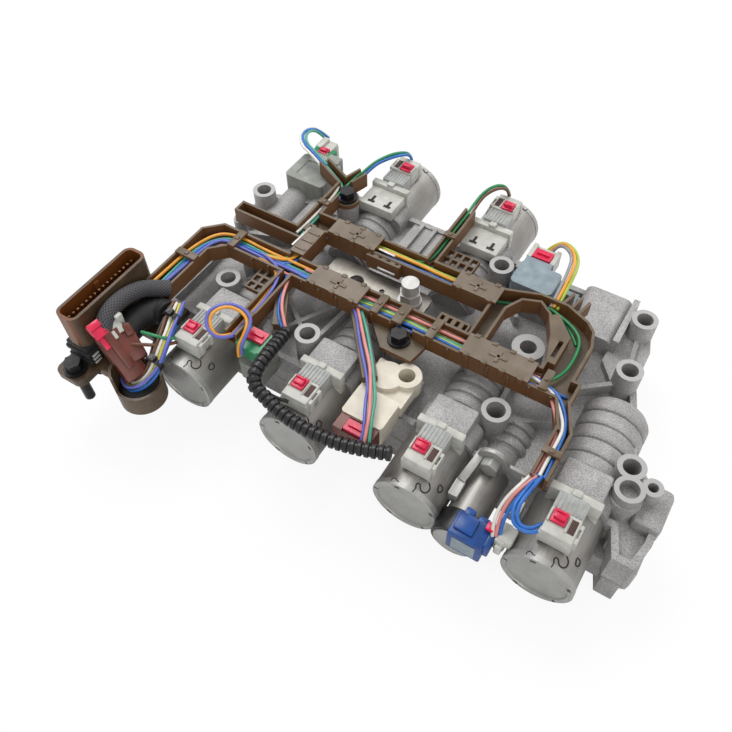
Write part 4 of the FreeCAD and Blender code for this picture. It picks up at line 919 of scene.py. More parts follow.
@dataclass
class Harness:
    """All wires of the frame, the corrugated conduit and the braided sleeves."""

    conduit_route: Sequence[Spot] = (
        (-64.0, -31.0, 61.5), (-62.0, -44.0, 65.0), (-60.6, -56.0, 66.6), (-59.6, -66.0, 65.4),
        (-55.5, -70.6, 62.6), (-49.3, -71.4, 61.2), (-42.0, -73.6, 59.6), (-25.9, -75.4, 57.5),
        (-8.0, -74.2, 57.0), (8.5, -70.8, 58.0), (22.8, -65.6, 59.0),
    )
    conduit_rings: Sequence[float] = (2.9, 2.9, 2.9, 3.75, 3.85, 3.85, 3.85, 3.85, 3.75)
    sleeve_route: Sequence[Spot] = (
        (-141.0, -86.5, 62.0), (-144.6, -84.6, 69.5), (-146.2, -79.5, 73.0), (-146.6, -71.8, 74.6),
        (-146.7, -61.9, 73.2), (-145.6, -52.3, 69.6), (-141.4, -46.2, 66.2), (-137.4, -41.5, 63.8),
    )
    sleeve_radius: float = 4.7
    bulk_route: Sequence[Spot] = (
        (-141.0, -79.0, 57.0), (-142.6, -71.0, 58.0), (-142.4, -62.0, 57.6), (-139.6, -55.6, 57.0),
        (-134.4, -52.6, 57.0), (-128.6, -53.6, 58.4),
    )
    bulk_rings: Sequence[float] = (7.6, 7.75, 7.7)
    front_route: Sequence[Spot] = (
        (-143.4, -44, 64.4), (-143.2, -22, 64.2), (-142.8, -6, 64.0), (-137.5, 5.0, 64.0),
        (-127, 7.4, 64.0), (-108, 7.0, 63.6), (-80, 7.0, 63.4), (-50, 6.6, 63.2), (-22, 7.4, 64.2),
        (8, 6.6, 64.0), (38, 7.0, 63.0), (66, 6.8, 63.2),
    )
    cup_route: Sequence[Spot] = (
        (-127.0, -47.5, 63.6), (-123.4, -56.0, 64.0), (-119.6, -65.6, 63.0), (-116.6, -74.9, 61.0),
        (-114.6, -83.4, 56.4), (-117.0, -88.6, 50.0), (-121.3, -92.6, 45.4), (-126.6, -94.4, 43.2),
        (-130.6, -91.4, 42.6),
    )

    def channel_wires(self) -> None:
        """The three long wires of the CAD model, along their own routes."""
        routes = {
            Wire.WHITE: (
                (-144.5, -29, 60.2), (-144.6, -12, 60.4), (-140.5, 3.0, 60.6), (-128, 7.6, 60.3),
                (-104, 4.2, 60.4), (-70, 3.4, 60.5), (-30, 4.6, 61.0), (12, 3.6, 60.8),
                (45, 4.4, 60.4), (76, 5.0, 60.3),
            ),
            Wire.BLUE: (
                (-147.3, -29, 60.6), (-147.5, -8, 60.8), (-143.2, 6.0, 60.9), (-130, 11.0, 61.0),
                (-100, 7.8, 60.6), (-62, 8.4, 60.4), (-24, 7.2, 60.7), (14, 8.2, 61.0),
                (52, 7.4, 60.5), (82, 8.0, 60.4),
            ),
            Wire.GREEN: (
                (-88.9, 13, 60.3), (-89.1, 30.5, 60.5), (-88.8, 45.8, 60.6), (-72, 45.2, 60.3),
                (-44, 44.2, 60.5), (-10, 45.6, 60.6), (14, 46.0, 60.4), (29.5, 50.3, 60.4),
                (42, 56.0, 60.5), (52, 56.9, 60.4), (66, 51.5, 60.4), (73, 42.0, 60.3),
            ),
        }
        for wire, points in routes.items():
            name = f"channel_wire_{wire.name.lower()}"
            WireBundle(name, points, (wire,), sway=0, replaced=("harness_wires",)).build()

    def troughs(self) -> None:
        """The bundles that fill the open channels of the frame."""
        ring, rail = self.front_route[:8], self.front_route[6:]
        lower = tuple((x, y, z - 1.9) for x, y, z in self.front_route)
        right = (
            (60, 7.0, 64.0), (74, 5.5, 64.4), (82.5, -4, 64.6), (88, -14, 64.8), (89, -26, 65.0),
            (89, -43, 64.6),
        )
        cross = (
            (-106, 6.0, 64.0), (-93, 8.6, 64.0), (-89.2, 20, 63.4), (-89.2, 36, 63.4), (-83, 45.0, 63.6),
            (-62, 45.6, 63.4), (-30, 46.0, 64.2), (-4, 45.4, 64.0), (18, 46.4, 63.6),
        )
        arm_1 = ((-108, 5.0, 64.6), (-94, 3.6, 65.0), (-87.5, -8, 65.0), (-86, -26, 64.6), (-86, -51, 64.4))
        stem = (
            (-100, 32, 63.4), (-100, 50, 63.6), (-100, 70, 63.4), (-101.5, 82, 63.6), (-110, 87.2, 63.8),
            (-122, 92.6, 64),
        )
        side = ((-98.5, 58, 61.6), (-99, 76, 62.6), (-98, 86, 63.6), (-96.2, 97, 64.0))
        back_2 = (
            (-34, 46.0, 62.4), (-22.5, 49, 62.8), (-20.5, 64, 63.4), (-20.5, 84, 63.4), (-20.5, 99, 64.4),
        )
        loop = (
            (68, 8.5, 63.0), (75.5, 16, 63.4), (76, 34, 63.6), (73.5, 45.5, 63.4), (64, 52.5, 63.4),
            (50, 56.9, 63.0),
        )
        sensor = (
            (-44, 6.0, 63.4), (-36, -1.5, 64.6), (-24, -16, 64.8), (-12, -30, 64.6), (-5.2, -39, 63.2),
            (-1.1, -46.5, 62.2), (2.8, -54.6, 62.2), (6.8, -62.4, 61.8), (9.2, -70.0, 55.0),
        )
        switch = (
            (-86, 2, 63.6), (-81, -10.5, 64.8), (-75, -21.5, 64.8), (-68.5, -29, 63.8), (-65, -31.5, 62.2),
        )
        bundles = (
            WireBundle(
                "ring_bundle", ring, (Wire.PINK, Wire.VIOLET, Wire.BLUE, Wire.TEAL, Wire.AMBER), 2.05
            ),
            WireBundle(
                "front_bundle", rail,
                (Wire.BLUE, Wire.BLUE, Wire.LIME, Wire.TEAL, Wire.PINK, Wire.BROWN), 1.95,
            ),
            WireBundle("front_under", lower, (Wire.VIOLET, Wire.GREEN, Wire.PINK, Wire.AMBER), 2.2),
            WireBundle("right_bundle", right, (Wire.PINK, Wire.WHITE, Wire.BLUE), 2.0),
            WireBundle("back_bundle", cross, (Wire.BLUE, Wire.AMBER, Wire.LIME), 2.1),
            WireBundle("arm_1_bundle", arm_1, (Wire.AMBER, Wire.VIOLET), 2.0),
            WireBundle("stem_bundle", stem, (Wire.TEAL, Wire.WHITE)),
            WireBundle("clip_bundle", side, (Wire.VIOLET, Wire.GREEN)),
            WireBundle("arm_back_2_bundle", back_2, (Wire.BROWN, Wire.GREEN)),
            WireBundle("loop_bundle", loop, (Wire.GREEN,), sway=0.2),
            WireBundle("sensor_bundle", sensor, (Wire.VIOLET, Wire.PINK, Wire.TEAL), 1.95),
            WireBundle("switch_bundle", switch, (Wire.BLUE, Wire.PINK)),
        )
        for bundle in bundles:
            bundle.build()

    def leads(self) -> None:
        """The short loops from the frame's arms to the plugs, and the wires into the cup."""
        loops = {
            "lead_back_1": (
                (
                    (-96, 96, 64), (-93.6, 105.5, 67.5), (-87.5, 112.6, 71), (-82.4, 121.5, 70),
                    (-79.7, 130.5, 65), (-79, 131.0, 60),
                ),
                (Wire.BLUE, Wire.GREEN),
            ),
            "lead_back_2": (
                (
                    (-20.5, 98, 64.4), (-20.4, 110, 68), (-17.6, 118.5, 71), (-12.9, 126.5, 70),
                    (-9.3, 130.6, 65), (-8.4, 130.8, 60),
                ),
                (Wire.BROWN, Wire.GREEN),
            ),
            "lead_side": (
                (
                    (-122, 92.6, 64), (-133, 97, 66.5), (-143.5, 100.5, 67.5), (-149.5, 107.8, 68),
                    (-151.5, 117.2, 66), (-149.0, 125.5, 61), (-142.4, 127.0, 55),
                ),
                (Wire.TEAL, Wire.BLUE, Wire.WHITE),
            ),
            "lead_speed": (
                (
                    (53, 57.0, 63.4), (52.4, 70, 66), (51.4, 86, 67), (48.5, 97, 66.5),
                    (41, 104.5, 65), (34.5, 107.0, 61), (31.6, 103.4, 56),
                ),
                (Wire.LIME, Wire.AMBER, Wire.GREY),
            ),
            "lead_switch": (
                (
                    (-86, -50, 64.4), (-88.4, -57.2, 67), (-95.4, -57.4, 71), (-100.2, -49.5, 74),
                    (-95.1, -41.0, 75), (-86.2, -38.6, 74), (-79.4, -41.2, 72), (-77.0, -48.6, 69.5),
                    (-76.8, -56.0, 65), (-76.4, -56.2, 59.5),
                ),
                (Wire.AMBER, Wire.VIOLET),
            ),
            "lead_front_1": (
                (
                    (-129.7, -73.6, 64), (-121.9, -72.4, 64.4), (-117.1, -70.0, 63),
                    (-113.6, -65.8, 60.5), (-113.2, -62.6, 58.5),
                ),
                (Wire.GREEN,),
            ),
            "lead_brown": (
                (
                    (-129.8, -81.6, 62), (-124.3, -79.4, 62.4), (-118.1, -74.7, 61.4),
                    (-114, -69.8, 59.4), (-112.6, -65.6, 57.6),
                ),
                (Wire.BROWN,),
            ),
            "lead_front_4": (
                (
                    (89, -42, 64.6), (87.0, -53.9, 65), (86.2, -62.2, 64), (88.5, -68.5, 62.5),
                    (93.3, -69.2, 61), (98.0, -65.9, 59.4), (100.6, -61.4, 58),
                ),
                (Wire.BLUE, Wire.BLUE),
            ),
            "lead_small": (
                (
                    (87.5, -43.5, 64.6), (83.6, -53.7, 63), (81.4, -61.9, 58), (81.6, -68.5, 52),
                    (83.2, -71.4, 46),
                ),
                (Wire.WHITE, Wire.PINK, Wire.BLUE),
            ),
            "lead_front_2": (
                (
                    (-64.0, -50.3, 64), (-63.4, -59.3, 63), (-56.4, -66.1, 62), (-47.4, -70.0, 61),
                    (-38.0, -66.6, 58),
                ),
                (Wire.BLACK,),
            ),
        }
        for name, (points, wires) in loops.items():
            WireBundle(name, points, wires, 1.95, lift=0.3, sway=0.25).build()
        upper = (Wire.BLACK, Wire.BROWN, Wire.WHITE, Wire.YELLOW, Wire.VIOLET)
        WireBundle("cup_bundle", self.cup_route, upper, 1.95).build()
        under = tuple((x + 0.4, y - 0.6, z - 2.0) for x, y, z in self.cup_route)
        WireBundle("cup_under", under, (Wire.BROWN, Wire.BLACK, Wire.LIME, Wire.BLUE), 2.1).build()

    def sleeves(self) -> None:
        """The corrugated conduit, the braided sleeve and the taped bundle beside the case connector."""
        ribs = ringed_tube("conduit_ribs", self.conduit_route, 0.4, self.conduit_rings, 24)
        settle(ribs, Palette.black, ("conduit",), angle=40.0)
        woven = ringed_tube("woven_sleeve", self.sleeve_route, 0.8, (self.sleeve_radius,), 32)
        settle(woven, Palette.braid, ("braided_sleeve",), angle=CORD_SMOOTH)
        bulk = ringed_tube("taped_bundle", self.bulk_route, 1.2, self.bulk_rings, 32)
        settle(bulk, Palette.rubber, angle=CORD_SMOOTH)
        LOG.info("conduit and sleeves")

    def build(self) -> None:
        """Makes every cord of the harness."""
        self.channel_wires()
        self.troughs()
        self.leads()
        self.sleeves()


@dataclass
class CableTie:
    """A flat tie round a bundle, with its square head on top."""

    name: str
    spot: Spot
    along: str = "x"
    width: float = 13.0
    height: float = 8.0
    band: float = 2.6
    wall: float = 0.7
    head: float = 1.9

    def build(self) -> None:
        """Makes the band from a ring and sets the head on it."""
        lengthwise = self.along == "x"
        turn = (0, math.pi / 2, 0) if lengthwise else (math.pi / 2, 0, 0)
        bpy.ops.mesh.primitive_cylinder_add(
            vertices=20, radius=0.5 * MM, depth=self.band * MM, end_fill_type="NOTHING",
            location=[value * MM for value in self.spot], rotation=turn,
        )
        ring = bpy.context.active_object
        bpy.ops.object.transform_apply(location=False, rotation=True, scale=False)
        ring.scale = (1.0, self.width, self.height) if lengthwise else (self.width, 1.0, self.height)
        bpy.ops.object.transform_apply(location=False, rotation=False, scale=True)
        wall = ring.modifiers.new("wall", "SOLIDIFY")
        wall.thickness = self.wall * MM
        bpy.ops.object.modifier_apply(modifier="wall")
        x, y, z = self.spot
        top, half = z + self.height / 2, self.head
        head = eased_block((x - half, y - half, top - 0.6), (x + half, y + half, top + 2.2), 0.4, 0.8)
        settle(joined([ring, head], self.name), Palette.black)


@dataclass
class CanEnd:
    """The rolled cap on a solenoid's end, with its notched rim and the can's joint seam."""

    name: str
    x: float
    end: float
    way: int
    radius: float = 18.0
    height: float = 34.0
    segments: int = 72
    depth: float = 3.0
    steps: Sequence[Span] = ((0.7, 0.45), (2.0, -0.1), (0.35, -0.75))
    notches: Sequence[int] = (4, 5, 20, 21, 33, 47, 48, 62)
    notch_depth: float = 1.3
    seam_start: float = 78.0
    seam_radius: float = 0.34
    seam_lines: Sequence[Sequence[Span]] = (
        (
            (0.0, 0.3), (-0.5, 3.0), (0.5, 4.4), (0.1, 5.9), (-1.5, 5.8), (-2.0, 4.2), (-3.8, 3.2),
            (-5.9, 4.2), (-6.6, 6.4), (-5.9, 8.4), (-4.2, 9.4),
        ),
        ((-9.4, 12.6), (-11.4, 13.4), (-12.8, 11.8), (-12.2, 9.6), (-10.0, 9.2), (-9.4, 12.0)),
        ((12.4, 0.8), (12.6, 2.6), (10.4, 2.8), (9.4, 1.6), (8.2, 1.8)),
    )

    def cap(self) -> None:
        """Models the cap from a short drum: rolled edge, sunk flat disc and notches."""
        centre = (self.x, self.end - self.way * 1.1, self.height)
        cap = drum(self.radius + 0.25, self.depth, centre, self.segments, along_y=True)
        out = Vector((0, self.way, 0))
        pick_faces(cap, out)
        for inset, lift in self.steps:
            bpy.ops.mesh.inset(thickness=inset * MM)
            bpy.ops.transform.translate(value=tuple(out * lift * MM))
        mesh = bmesh.from_edit_mesh(cap.data)
        for face in mesh.faces:
            face.select_set(False)
        for face in mesh.faces:
            spot = face.calc_center_median() / MM
            away = math.hypot(spot.x - self.x, spot.z - self.height)
            turn = math.atan2(spot.z - self.height, spot.x - self.x) % math.tau
            on_rim = self.radius - 2.4 < away < self.radius - 0.4
            notched = int(turn / math.tau * self.segments) in self.notches
            if on_rim and notched and face.normal.dot(out) > 0.9:
                face.select_set(True)
        bmesh.update_edit_mesh(cap.data)
        inward = tuple(out * -self.notch_depth * MM)
        bpy.ops.mesh.extrude_region_move(TRANSFORM_OT_translate={"value": inward})
        bpy.ops.object.mode_set(mode="OBJECT")
        settle(joined([cap], f"{self.name}_cap"), Palette.cap, angle=30.0)

    def shell_spot(self, around: float, inward: float) -> Spot:
        """Finds a point on the can's shell.

        Args:
            around: How far it lies around the shell from the seam, in mm.
            inward: How far it lies in from the can's end, in mm.

        Returns:
            The point, in mm.
        """
        turn = math.radians(self.seam_start) + around / self.radius
        shell = self.radius + 0.1
        across = self.way * shell * math.cos(turn)
        return (self.x - across, self.end - self.way * inward, self.height + shell * math.sin(turn))

    def seam(self) -> None:
        """Lays the dark lines of the can's joint on its shell: the puzzle joint, its loop and its tail."""
        lines = []
        for number, route in enumerate(self.seam_lines):
            spots = [self.shell_spot(around, inward) for around, inward in route]
            lines.append(as_mesh(route_curve(f"{self.name}_seam_{number}", spots, self.seam_radius)))
        settle(joined(lines, f"{self.name}_seam"), Palette.seam, angle=CORD_SMOOTH)

    def build(self) -> None:
        """Makes the cap and the seam."""
        self.cap()
        self.seam()


@dataclass
class SolenoidHead:
    """The terminal tower, the plug and the sliding lock on top of one large solenoid.

    Its forms are given across the solenoid, outwards from the casting's face, and upwards.
    """

    name: str
    x: float
    face: float
    way: int
    tower_depth: float = 15.0
    ribs: int = 7
    rib_pitch: float = 2.0
    slots: Span = (-6.5, 5.0)
    plug_half: float = 7.5
    plug_end: float = 28.7
    plug_low: float = 52.5
    plug_high: float = 62.4

    def block(
        self, across: Span, out: Span, rise: Span, ease: float = 0.4, inlay: float = 0.0
    ) -> bpy.types.Object:
        """An eased block at the solenoid's own place.

        Args:
            across: Its limits to the left and right, seen from the solenoid's end, in mm.
            out: Its limits outwards from the casting's face, in mm.
            rise: Its lowest and highest height, in mm.
            ease: The width of its eased edges, in mm.
            inlay: How far in its sunk top panel starts, in mm, or 0 for none.

        Returns:
            The new object.
        """
        xs = sorted(self.x - self.way * value for value in across)
        ys = sorted(self.face + self.way * value for value in out)
        return eased_block((xs[0], ys[0], rise[0]), (xs[1], ys[1], rise[1]), ease, inlay)

    def form(self, name: str, rows: Rows) -> bpy.types.Object:
        """Joins one block for each row into a piece named for this solenoid."""
        return joined([self.block(*row) for row in rows], f"{name}_{self.name}")

    def tower(self) -> None:
        """Models the seat on the casting, the crossbar over the can and the ribbed terminal box."""
        front = self.way < 0
        seat = self.form("tower_seat", [((-12, 12), (-17, 0.4), (49.9, 56.8), 1.6 if front else 0.6)])
        settle(seat, Palette.casting if front else Palette.ivory, ("solenoid_towers",))
        if not front:
            # Thin dark plates on the seat: painted shade in the terminal slots.
            slots = [((u - 0.9, u + 0.9), (-13, -8), (56.6, 57.0), 0.1) for u in self.slots]
            slots += [((u - 2.4, u + 2.4), (-14.4, -12.4), (56.6, 57.0), 0.1) for u in self.slots]
            settle(self.form("tower_slot_shades", slots), Palette.seam)
        bar = self.form("tower_bar", [
            ((-13, 13), (0.4, 5.0), (48.5, 59.6), 0.8),
            ((7.6, 13), (0.5, 5.6), (40.0, 50.0), 0.9),
            ((-13, -9.4), (0.5, 5.2), (42.0, 50.0), 0.8),
            ((-2.4, 2.4), (0.7, 4.7), (59.3, 61.4), 0.9),
        ])
        settle(bar, Palette.ivory, ("solenoid_towers",))
        case = [((-self.plug_half, self.plug_half), (4.8, self.tower_depth), (50.0, 61.4), 0.5)]
        for number in range(self.ribs):
            u = self.rib_pitch * (number - (self.ribs - 1) / 2)
            case.append(((u - 0.35, u + 0.35), (5.4, self.tower_depth - 0.5), (61.2, 61.9), 0.15))
        settle(self.form("tower_box", case), Palette.pale_grey, ("solenoid_towers",))

    def plug(self) -> None:
        """Models the plug with its collar, its side latch and the guides of its lock."""
        half, start, end = self.plug_half, self.tower_depth + 0.2, self.plug_end
        low, high = self.plug_low, self.plug_high
        shell = self.form("plug_shell", [
            ((-half, half), (start, end), (low, high), 0.6),
            ((-half - 0.6, half + 0.6), (end - 3.2, end + 0.3), (low - 0.4, high - 2.2), 0.5),
            ((-half + 0.3, -half + 1.3), (start + 0.6, start + 8), (high - 0.4, high + 1.4), 0.3),
            ((half - 0.3, half + 1.9), (start + 1.5, start + 4.0), (54.0, 61.4), 0.4),
            ((half - 0.3, half + 1.9), (start + 8.6, start + 11.6), (54.0, 61.4), 0.4),
            ((half + 1.1, half + 1.9), (start + 3.6, start + 9.0), (59.6, 61.4), 0.3),
            ((1.9, 2.7), (start + 0.8, start + 9.6), (high - 0.4, high + 0.9), 0.25),
        ])
        settle(shell, Palette.ivory, ("solenoid_plugs",))
        # A thin dark plate on the plug top: painted shade in its slot.
        slot = [((3.2, 6.4), (start + 1.6, start + 9.2), (high - 0.3, high + 0.15), 0.1)]
        settle(self.form("plug_slot_shade", slot), Palette.painted_slot_shade)

    def lock(self) -> None:
        """Models the stepped red lock on the plug, riding on its own sliding body."""
        top, start = self.plug_high, self.tower_depth + 0.7
        slide = self.form("lock_slide", [
            ((-5.8, 1.4), (start, start + 7.2), (top + 0.06, top + 1.5), 0.3),
            ((-5.0, 0.6), (start + 1.4, start + 5.6), (top + 1.4, top + 3.2), 0.45),
            ((-5.0, 0.6), (start + 1.4, start + 2.6), (top + 3.0, top + 3.9), 0.3),
        ])
        lock = f"lock_{self.name}"
        settle(slide, Palette.red, (lock,), body=lock)

    def build(self) -> None:
        """Makes the tower, the plug and the lock."""
        self.tower()
        self.plug()
        self.lock()
        LOG.info("solenoid head %s", self.name)


@dataclass
class FrameTrim:
    """Catches, edge ribs and cross marks along the rails and covers of the wiring frame."""

    top: float = 67.5
    cover_top: float = 68.8
    front: Span = (-0.25, 14.25)
    back: Span = (39.0, 52.0)
    front_covers: Sequence[Span] = ((-72, -38.5), (24, 62.5))
    back_covers: Sequence[Span] = ((-81.5, -52), (-1, 25.5))
    rib_rise: Span = (58.2, 66.9)
    cross_spots: Sequence[Span] = ((-55, 7), (43, 7), (-67, 45.5), (12, 45.5))
    tab_spots: Sequence[tuple[float, float, float, float]] = (
        (-143.5, -18, 7.2, 2.4), (-126, 7.0, 2.4, 7.0), (-28, 7.0, 2.4, 7.2), (-14, 7.0, 3.0, 7.2),
        (6, 7.0, 2.4, 7.2), (-86, -36, 4.4, 2.0), (89, -30, 4.8, 2.0), (-100, 60, 3.8, 2.0),
        (-20.5, 74, 3.8, 2.0), (70, 7.0, 2.2, 6.6),
    )

    def catches(self) -> None:
        """Small snap catches on both edges of each cover."""
        covers = [(cover, self.front) for cover in self.front_covers]
        covers += [(cover, self.back) for cover in self.back_covers]
        rows = []
        for (low, high), (near, far) in covers:
            count = max(2, round((high - low) / 11))
            for number in range(count):
                x = low + 4 + (high - low - 8) * number / (count - 1)
                for edge, lean in ((near, -1), (far, 1)):
                    inner, outer = sorted((edge - lean * 1.6, edge + lean * 0.7))
                    rows.append(
                        ((x - 1.5, inner, self.top - 3.4), (x + 1.5, outer, self.cover_top + 0.5), 0.25)
                    )
        settle(joined(blocks(rows), "cover_catches"), Palette.frame_nylon)
        LOG.info("cover catches: %d", len(rows))

    def wall_ribs(self) -> None:
        """Upright ribs on the outer faces of the rails, clear of the arms that leave them."""
        low, high = self.rib_rise
        front = [-110 + number * 11.6 for number in range(17)]
        front = [x for x in front if x <= 79 and not -90.5 < x < -80]
        back = [-80 + number * 11.8 for number in range(9)]
        back = [x for x in back if x <= 20 and not -26 < x < 6]
        rows = [
            ((x - 0.6, self.front[0] - 0.8, low), (x + 0.6, self.front[0] + 0.3, high), 0.2) for x in front
        ]
        rows += [
            ((x - 0.6, self.back[1] - 0.3, low), (x + 0.6, self.back[1] + 0.8, high), 0.2) for x in back
        ]
        settle(joined(blocks(rows), "rail_ribs"), Palette.frame_nylon)

    def marks(self) -> None:
        """Raised cross-shaped clips in the middle of the covers, and bars on the cross rail."""
        low, high = self.cover_top - 0.1, self.cover_top + 0.6
        rows = []
        for x, y in self.cross_spots:
            rows.append(((x - 5, y - 1, low), (x + 5, y + 1, high), 0.25))
            rows.append(((x - 1, y - 4, low), (x + 1, y + 4, high), 0.25))
        rows += [((-93, y - 0.8, low), (-85.4, y + 0.8, high), 0.25) for y in (19, 26, 33)]
        settle(joined(blocks(rows), "cover_crosses"), Palette.cover_nylon)

    def strips(self) -> None:
        """The bright steel strips that hold the frame's clip housings together."""
        parts = slants((
            ((-50.6, 43.2, 67.4), (-39.6, 42.7, 67.4), 1.4, 0.9, 0.2),
            ((-46.4, 34.4, 62.0), (-34.9, 34.4, 62.0), 1.2, 1.4, 0.2),
            ((-95.6, 19.6, 67.6), (-94.8, 37.6, 67.6), 1.4, 0.9, 0.2),
        ))
        settle(joined(parts, "clip_strips"), Palette.bright)

    def tabs(self) -> None:
        """The moulded hold-down tabs across the open troughs, each with a square button."""
        top = self.cover_top
        rows = []
        for x, y, half_x, half_y in self.tab_spots:
            rows.append(((x - half_x, y - half_y, self.top - 0.6), (x + half_x, y + half_y, top), 0.4))
            rows.append(((x - 1.3, y - 1.3, top - 0.2), (x + 1.3, y + 1.3, top + 0.7), 0.3))
        settle(joined(blocks(rows), "trough_tabs"), Palette.frame_nylon)
        LOG.info("trough tabs: %d", len(self.tab_spots))

    def ties(self) -> None:
        """The two black ties round the bundle that leaves the frame for the wire cup."""
        CableTie("tie_bundle_top", (-123.2, -56.6, 62.8), "y", 12.4, 7.4, 3.4).build()
        CableTie("tie_bundle_low", (-114.9, -82.6, 55.8), "y", 12.0, 7.8, 3.0).build()

    def build(self) -> None:
        """Makes every small form of the frame."""
        self.catches()
        self.wall_ribs()
        self.marks()
        self.strips()
        self.tabs()
        self.ties()


@dataclass
class CaseConnector:
    """The gaiter under the case connector's mouth, the wire cup, and the slanted lever plug."""

    x: Span = (-166.25, -151.75)
    y: Span = (-96.0, -38.0)
    rings: Sequence[Span] = ((44.3, 1.5), (47.6, 0.7), (50.9, 1.5), (54.2, 0.6))
    stripes: Sequence[float] = (45.4, 48.2, 51.0)
    cup_spot: Span = (-123.0, -91.0)
    cup_radius: float = 13.2
    cup_wall: float = 1.5
    cup_low: float = 30.0
    cup_top: float = 44.0
    cup_rise: float = 11.0
    lever_rows: Rows = (
        ((-143.2, -86.0, 66.6), (-122.4, -90.8, 47.6), 12.6, 8.6, 0.8),
        ((-141.6, -86.6, 70.6), (-124.6, -90.6, 54.6), 4.4, 3.0, 0.5),
        ((-138.6, -77.6, 63.6), (-124.6, -83.4, 53.6), 8.6, 7.4, 0.8),
        ((-138.0, -76.2, 68.0), (-132.6, -78.4, 63.8), 4.6, 3.4, 1.1),
        ((-130.6, -81.4, 60.8), (-126.2, -83.2, 57.6), 6.4, 1.6, 0.4),
    )
    lock_rows: Rows = (
        ((-149.0, -88.0, 73.2), (-140.4, -89.2, 68.6), 7.6, 4.6, 0.6),
        ((-147.6, -88.2, 74.6), (-144.2, -88.8, 72.8), 7.0, 2.6, 0.5),
        ((-141.4, -90.2, 68.0), (-136.0, -91.2, 63.8), 4.0, 3.0, 0.5),
    )

    def gaiter(self) -> None:
        """Stacks the soft rings round the shroud, with the pale stripes of their lock ring."""
        (left, right), (front, back) = self.x, self.y
        rings = [
            ((left - out, front - out, z), (right + out, back + out - 1.4, z + 3.4), 1.1)
            for z, out in self.rings
        ]
        settle(joined(blocks(rings), "connector_gaiter"), Palette.rubber)
        stripes = [
            ((right + 0.9, front + 1.0, z), (right + 2.2, front + 5.6, z + 1.1), 0.2) for z in self.stripes
        ]
        settle(joined(blocks(stripes), "gaiter_stripes"), Palette.ivory)

    def cup(self) -> None:
        """Models the wire cup: a thin-walled round cup with a higher wall towards the shroud."""
        x, y = self.cup_spot
        centre = (x, y, (self.cup_top + self.cup_low) / 2)
        cup = drum(self.cup_radius, self.cup_top - self.cup_low, centre, 48)
        up = Vector((0, 0, 1))
        pick_faces(cup, up)
        bpy.ops.mesh.inset(thickness=self.cup_wall * MM)
        bpy.ops.mesh.extrude_region_move(TRANSFORM_OT_translate={"value": (0, 0, -self.cup_rise * MM)})
        pick_faces(cup, up)
        mesh = bmesh.from_edit_mesh(cup.data)
        for face in mesh.faces:
            spot = face.calc_center_median()
            high = face.select and spot.z > (self.cup_top - 0.1) * MM
            face.select_set(high and spot.x < (x - 5) * MM)
        bmesh.update_edit_mesh(cup.data)
        bpy.ops.mesh.extrude_region_move(TRANSFORM_OT_translate={"value": (0, 0, self.cup_rise * MM)})
        bpy.ops.object.mode_set(mode="OBJECT")
        arm = eased_block((self.x[1] + 2, y - 4.5, 36.5), (x - self.cup_radius + 1.2, y + 4.5, 43.6), 0.8)
        settle(joined([cup, arm], "wire_cup_shell"), Palette.cup_nylon, ("wire_cup",))
        fill = drum(self.cup_radius - self.cup_wall - 0.2, 6.0, (x, y, 36.6))
        pick_faces(fill, up)
        bpy.ops.mesh.inset(thickness=3.5 * MM)
        bpy.ops.transform.translate(value=(0, 0, 2.2 * MM))
        bpy.ops.object.mode_set(mode="OBJECT")
        settle(joined([fill], "cup_filling"), Palette.rubber)

    def lever(self) -> None:
        """Models the slanted plug, its side housing, its pale clip and its lock."""
        settle(joined(slants(self.lever_rows), "lever_body"), Palette.lever_nylon, ("lever_plug",))
        clip = [
            slanted_block((-142.6, -80.4, 70.6), (-136.8, -81.8, 66.2), 7.4, 2.2, 0.4),
            eased_block((-143.0, -78.4, 65.4), (-139.4, -74.2, 74.0), 0.6),
            slanted_block((-139.4, -84.6, 68.8), (-135.8, -85.4, 66.0), 3.2, 2.0, 0.4),
        ]
        settle(joined(clip, "lever_clip"), Palette.ivory)
        lock = joined(slants(self.lock_rows), "lever_slide")
        settle(lock, Palette.red, ("lever_lock",), body="lever_lock")

    def build(self) -> None:
        """Makes the forms beside the case connector."""
        self.gaiter()
        self.cup()
        self.lever()
        LOG.info("case connector")


@dataclass
class ReturnSpring:
    """The coil spring between a spool and the closed end of its sleeve.

    It starts where the spool's stroke ends, so that the spool never runs into it.
    """

    name: str
    x: float
    face: float
    way: int
    height: float = 34.0
    near: float = 36.7
    far: float = 43.3
    radius: float = 3.6
    turns: int = 4
    points_per_turn: int = 12
    wire: float = 0.5

    def build(self) -> None:
        """Lays the coil as one round wire."""
        count = self.turns * self.points_per_turn
        points = []
        for number in range(count + 1):
            turn = math.tau * number / self.points_per_turn
            reach = self.near + (self.far - self.near) * number / count
            points.append((
                self.x + self.radius * math.cos(turn), self.face - self.way * reach,
                self.height + self.radius * math.sin(turn),
            ))
        coil = as_mesh(route_curve(f"return_spring_{self.name}", points, self.wire))
        settle(coil, Palette.wire_steel, ("return_springs",), angle=CORD_SMOOTH)


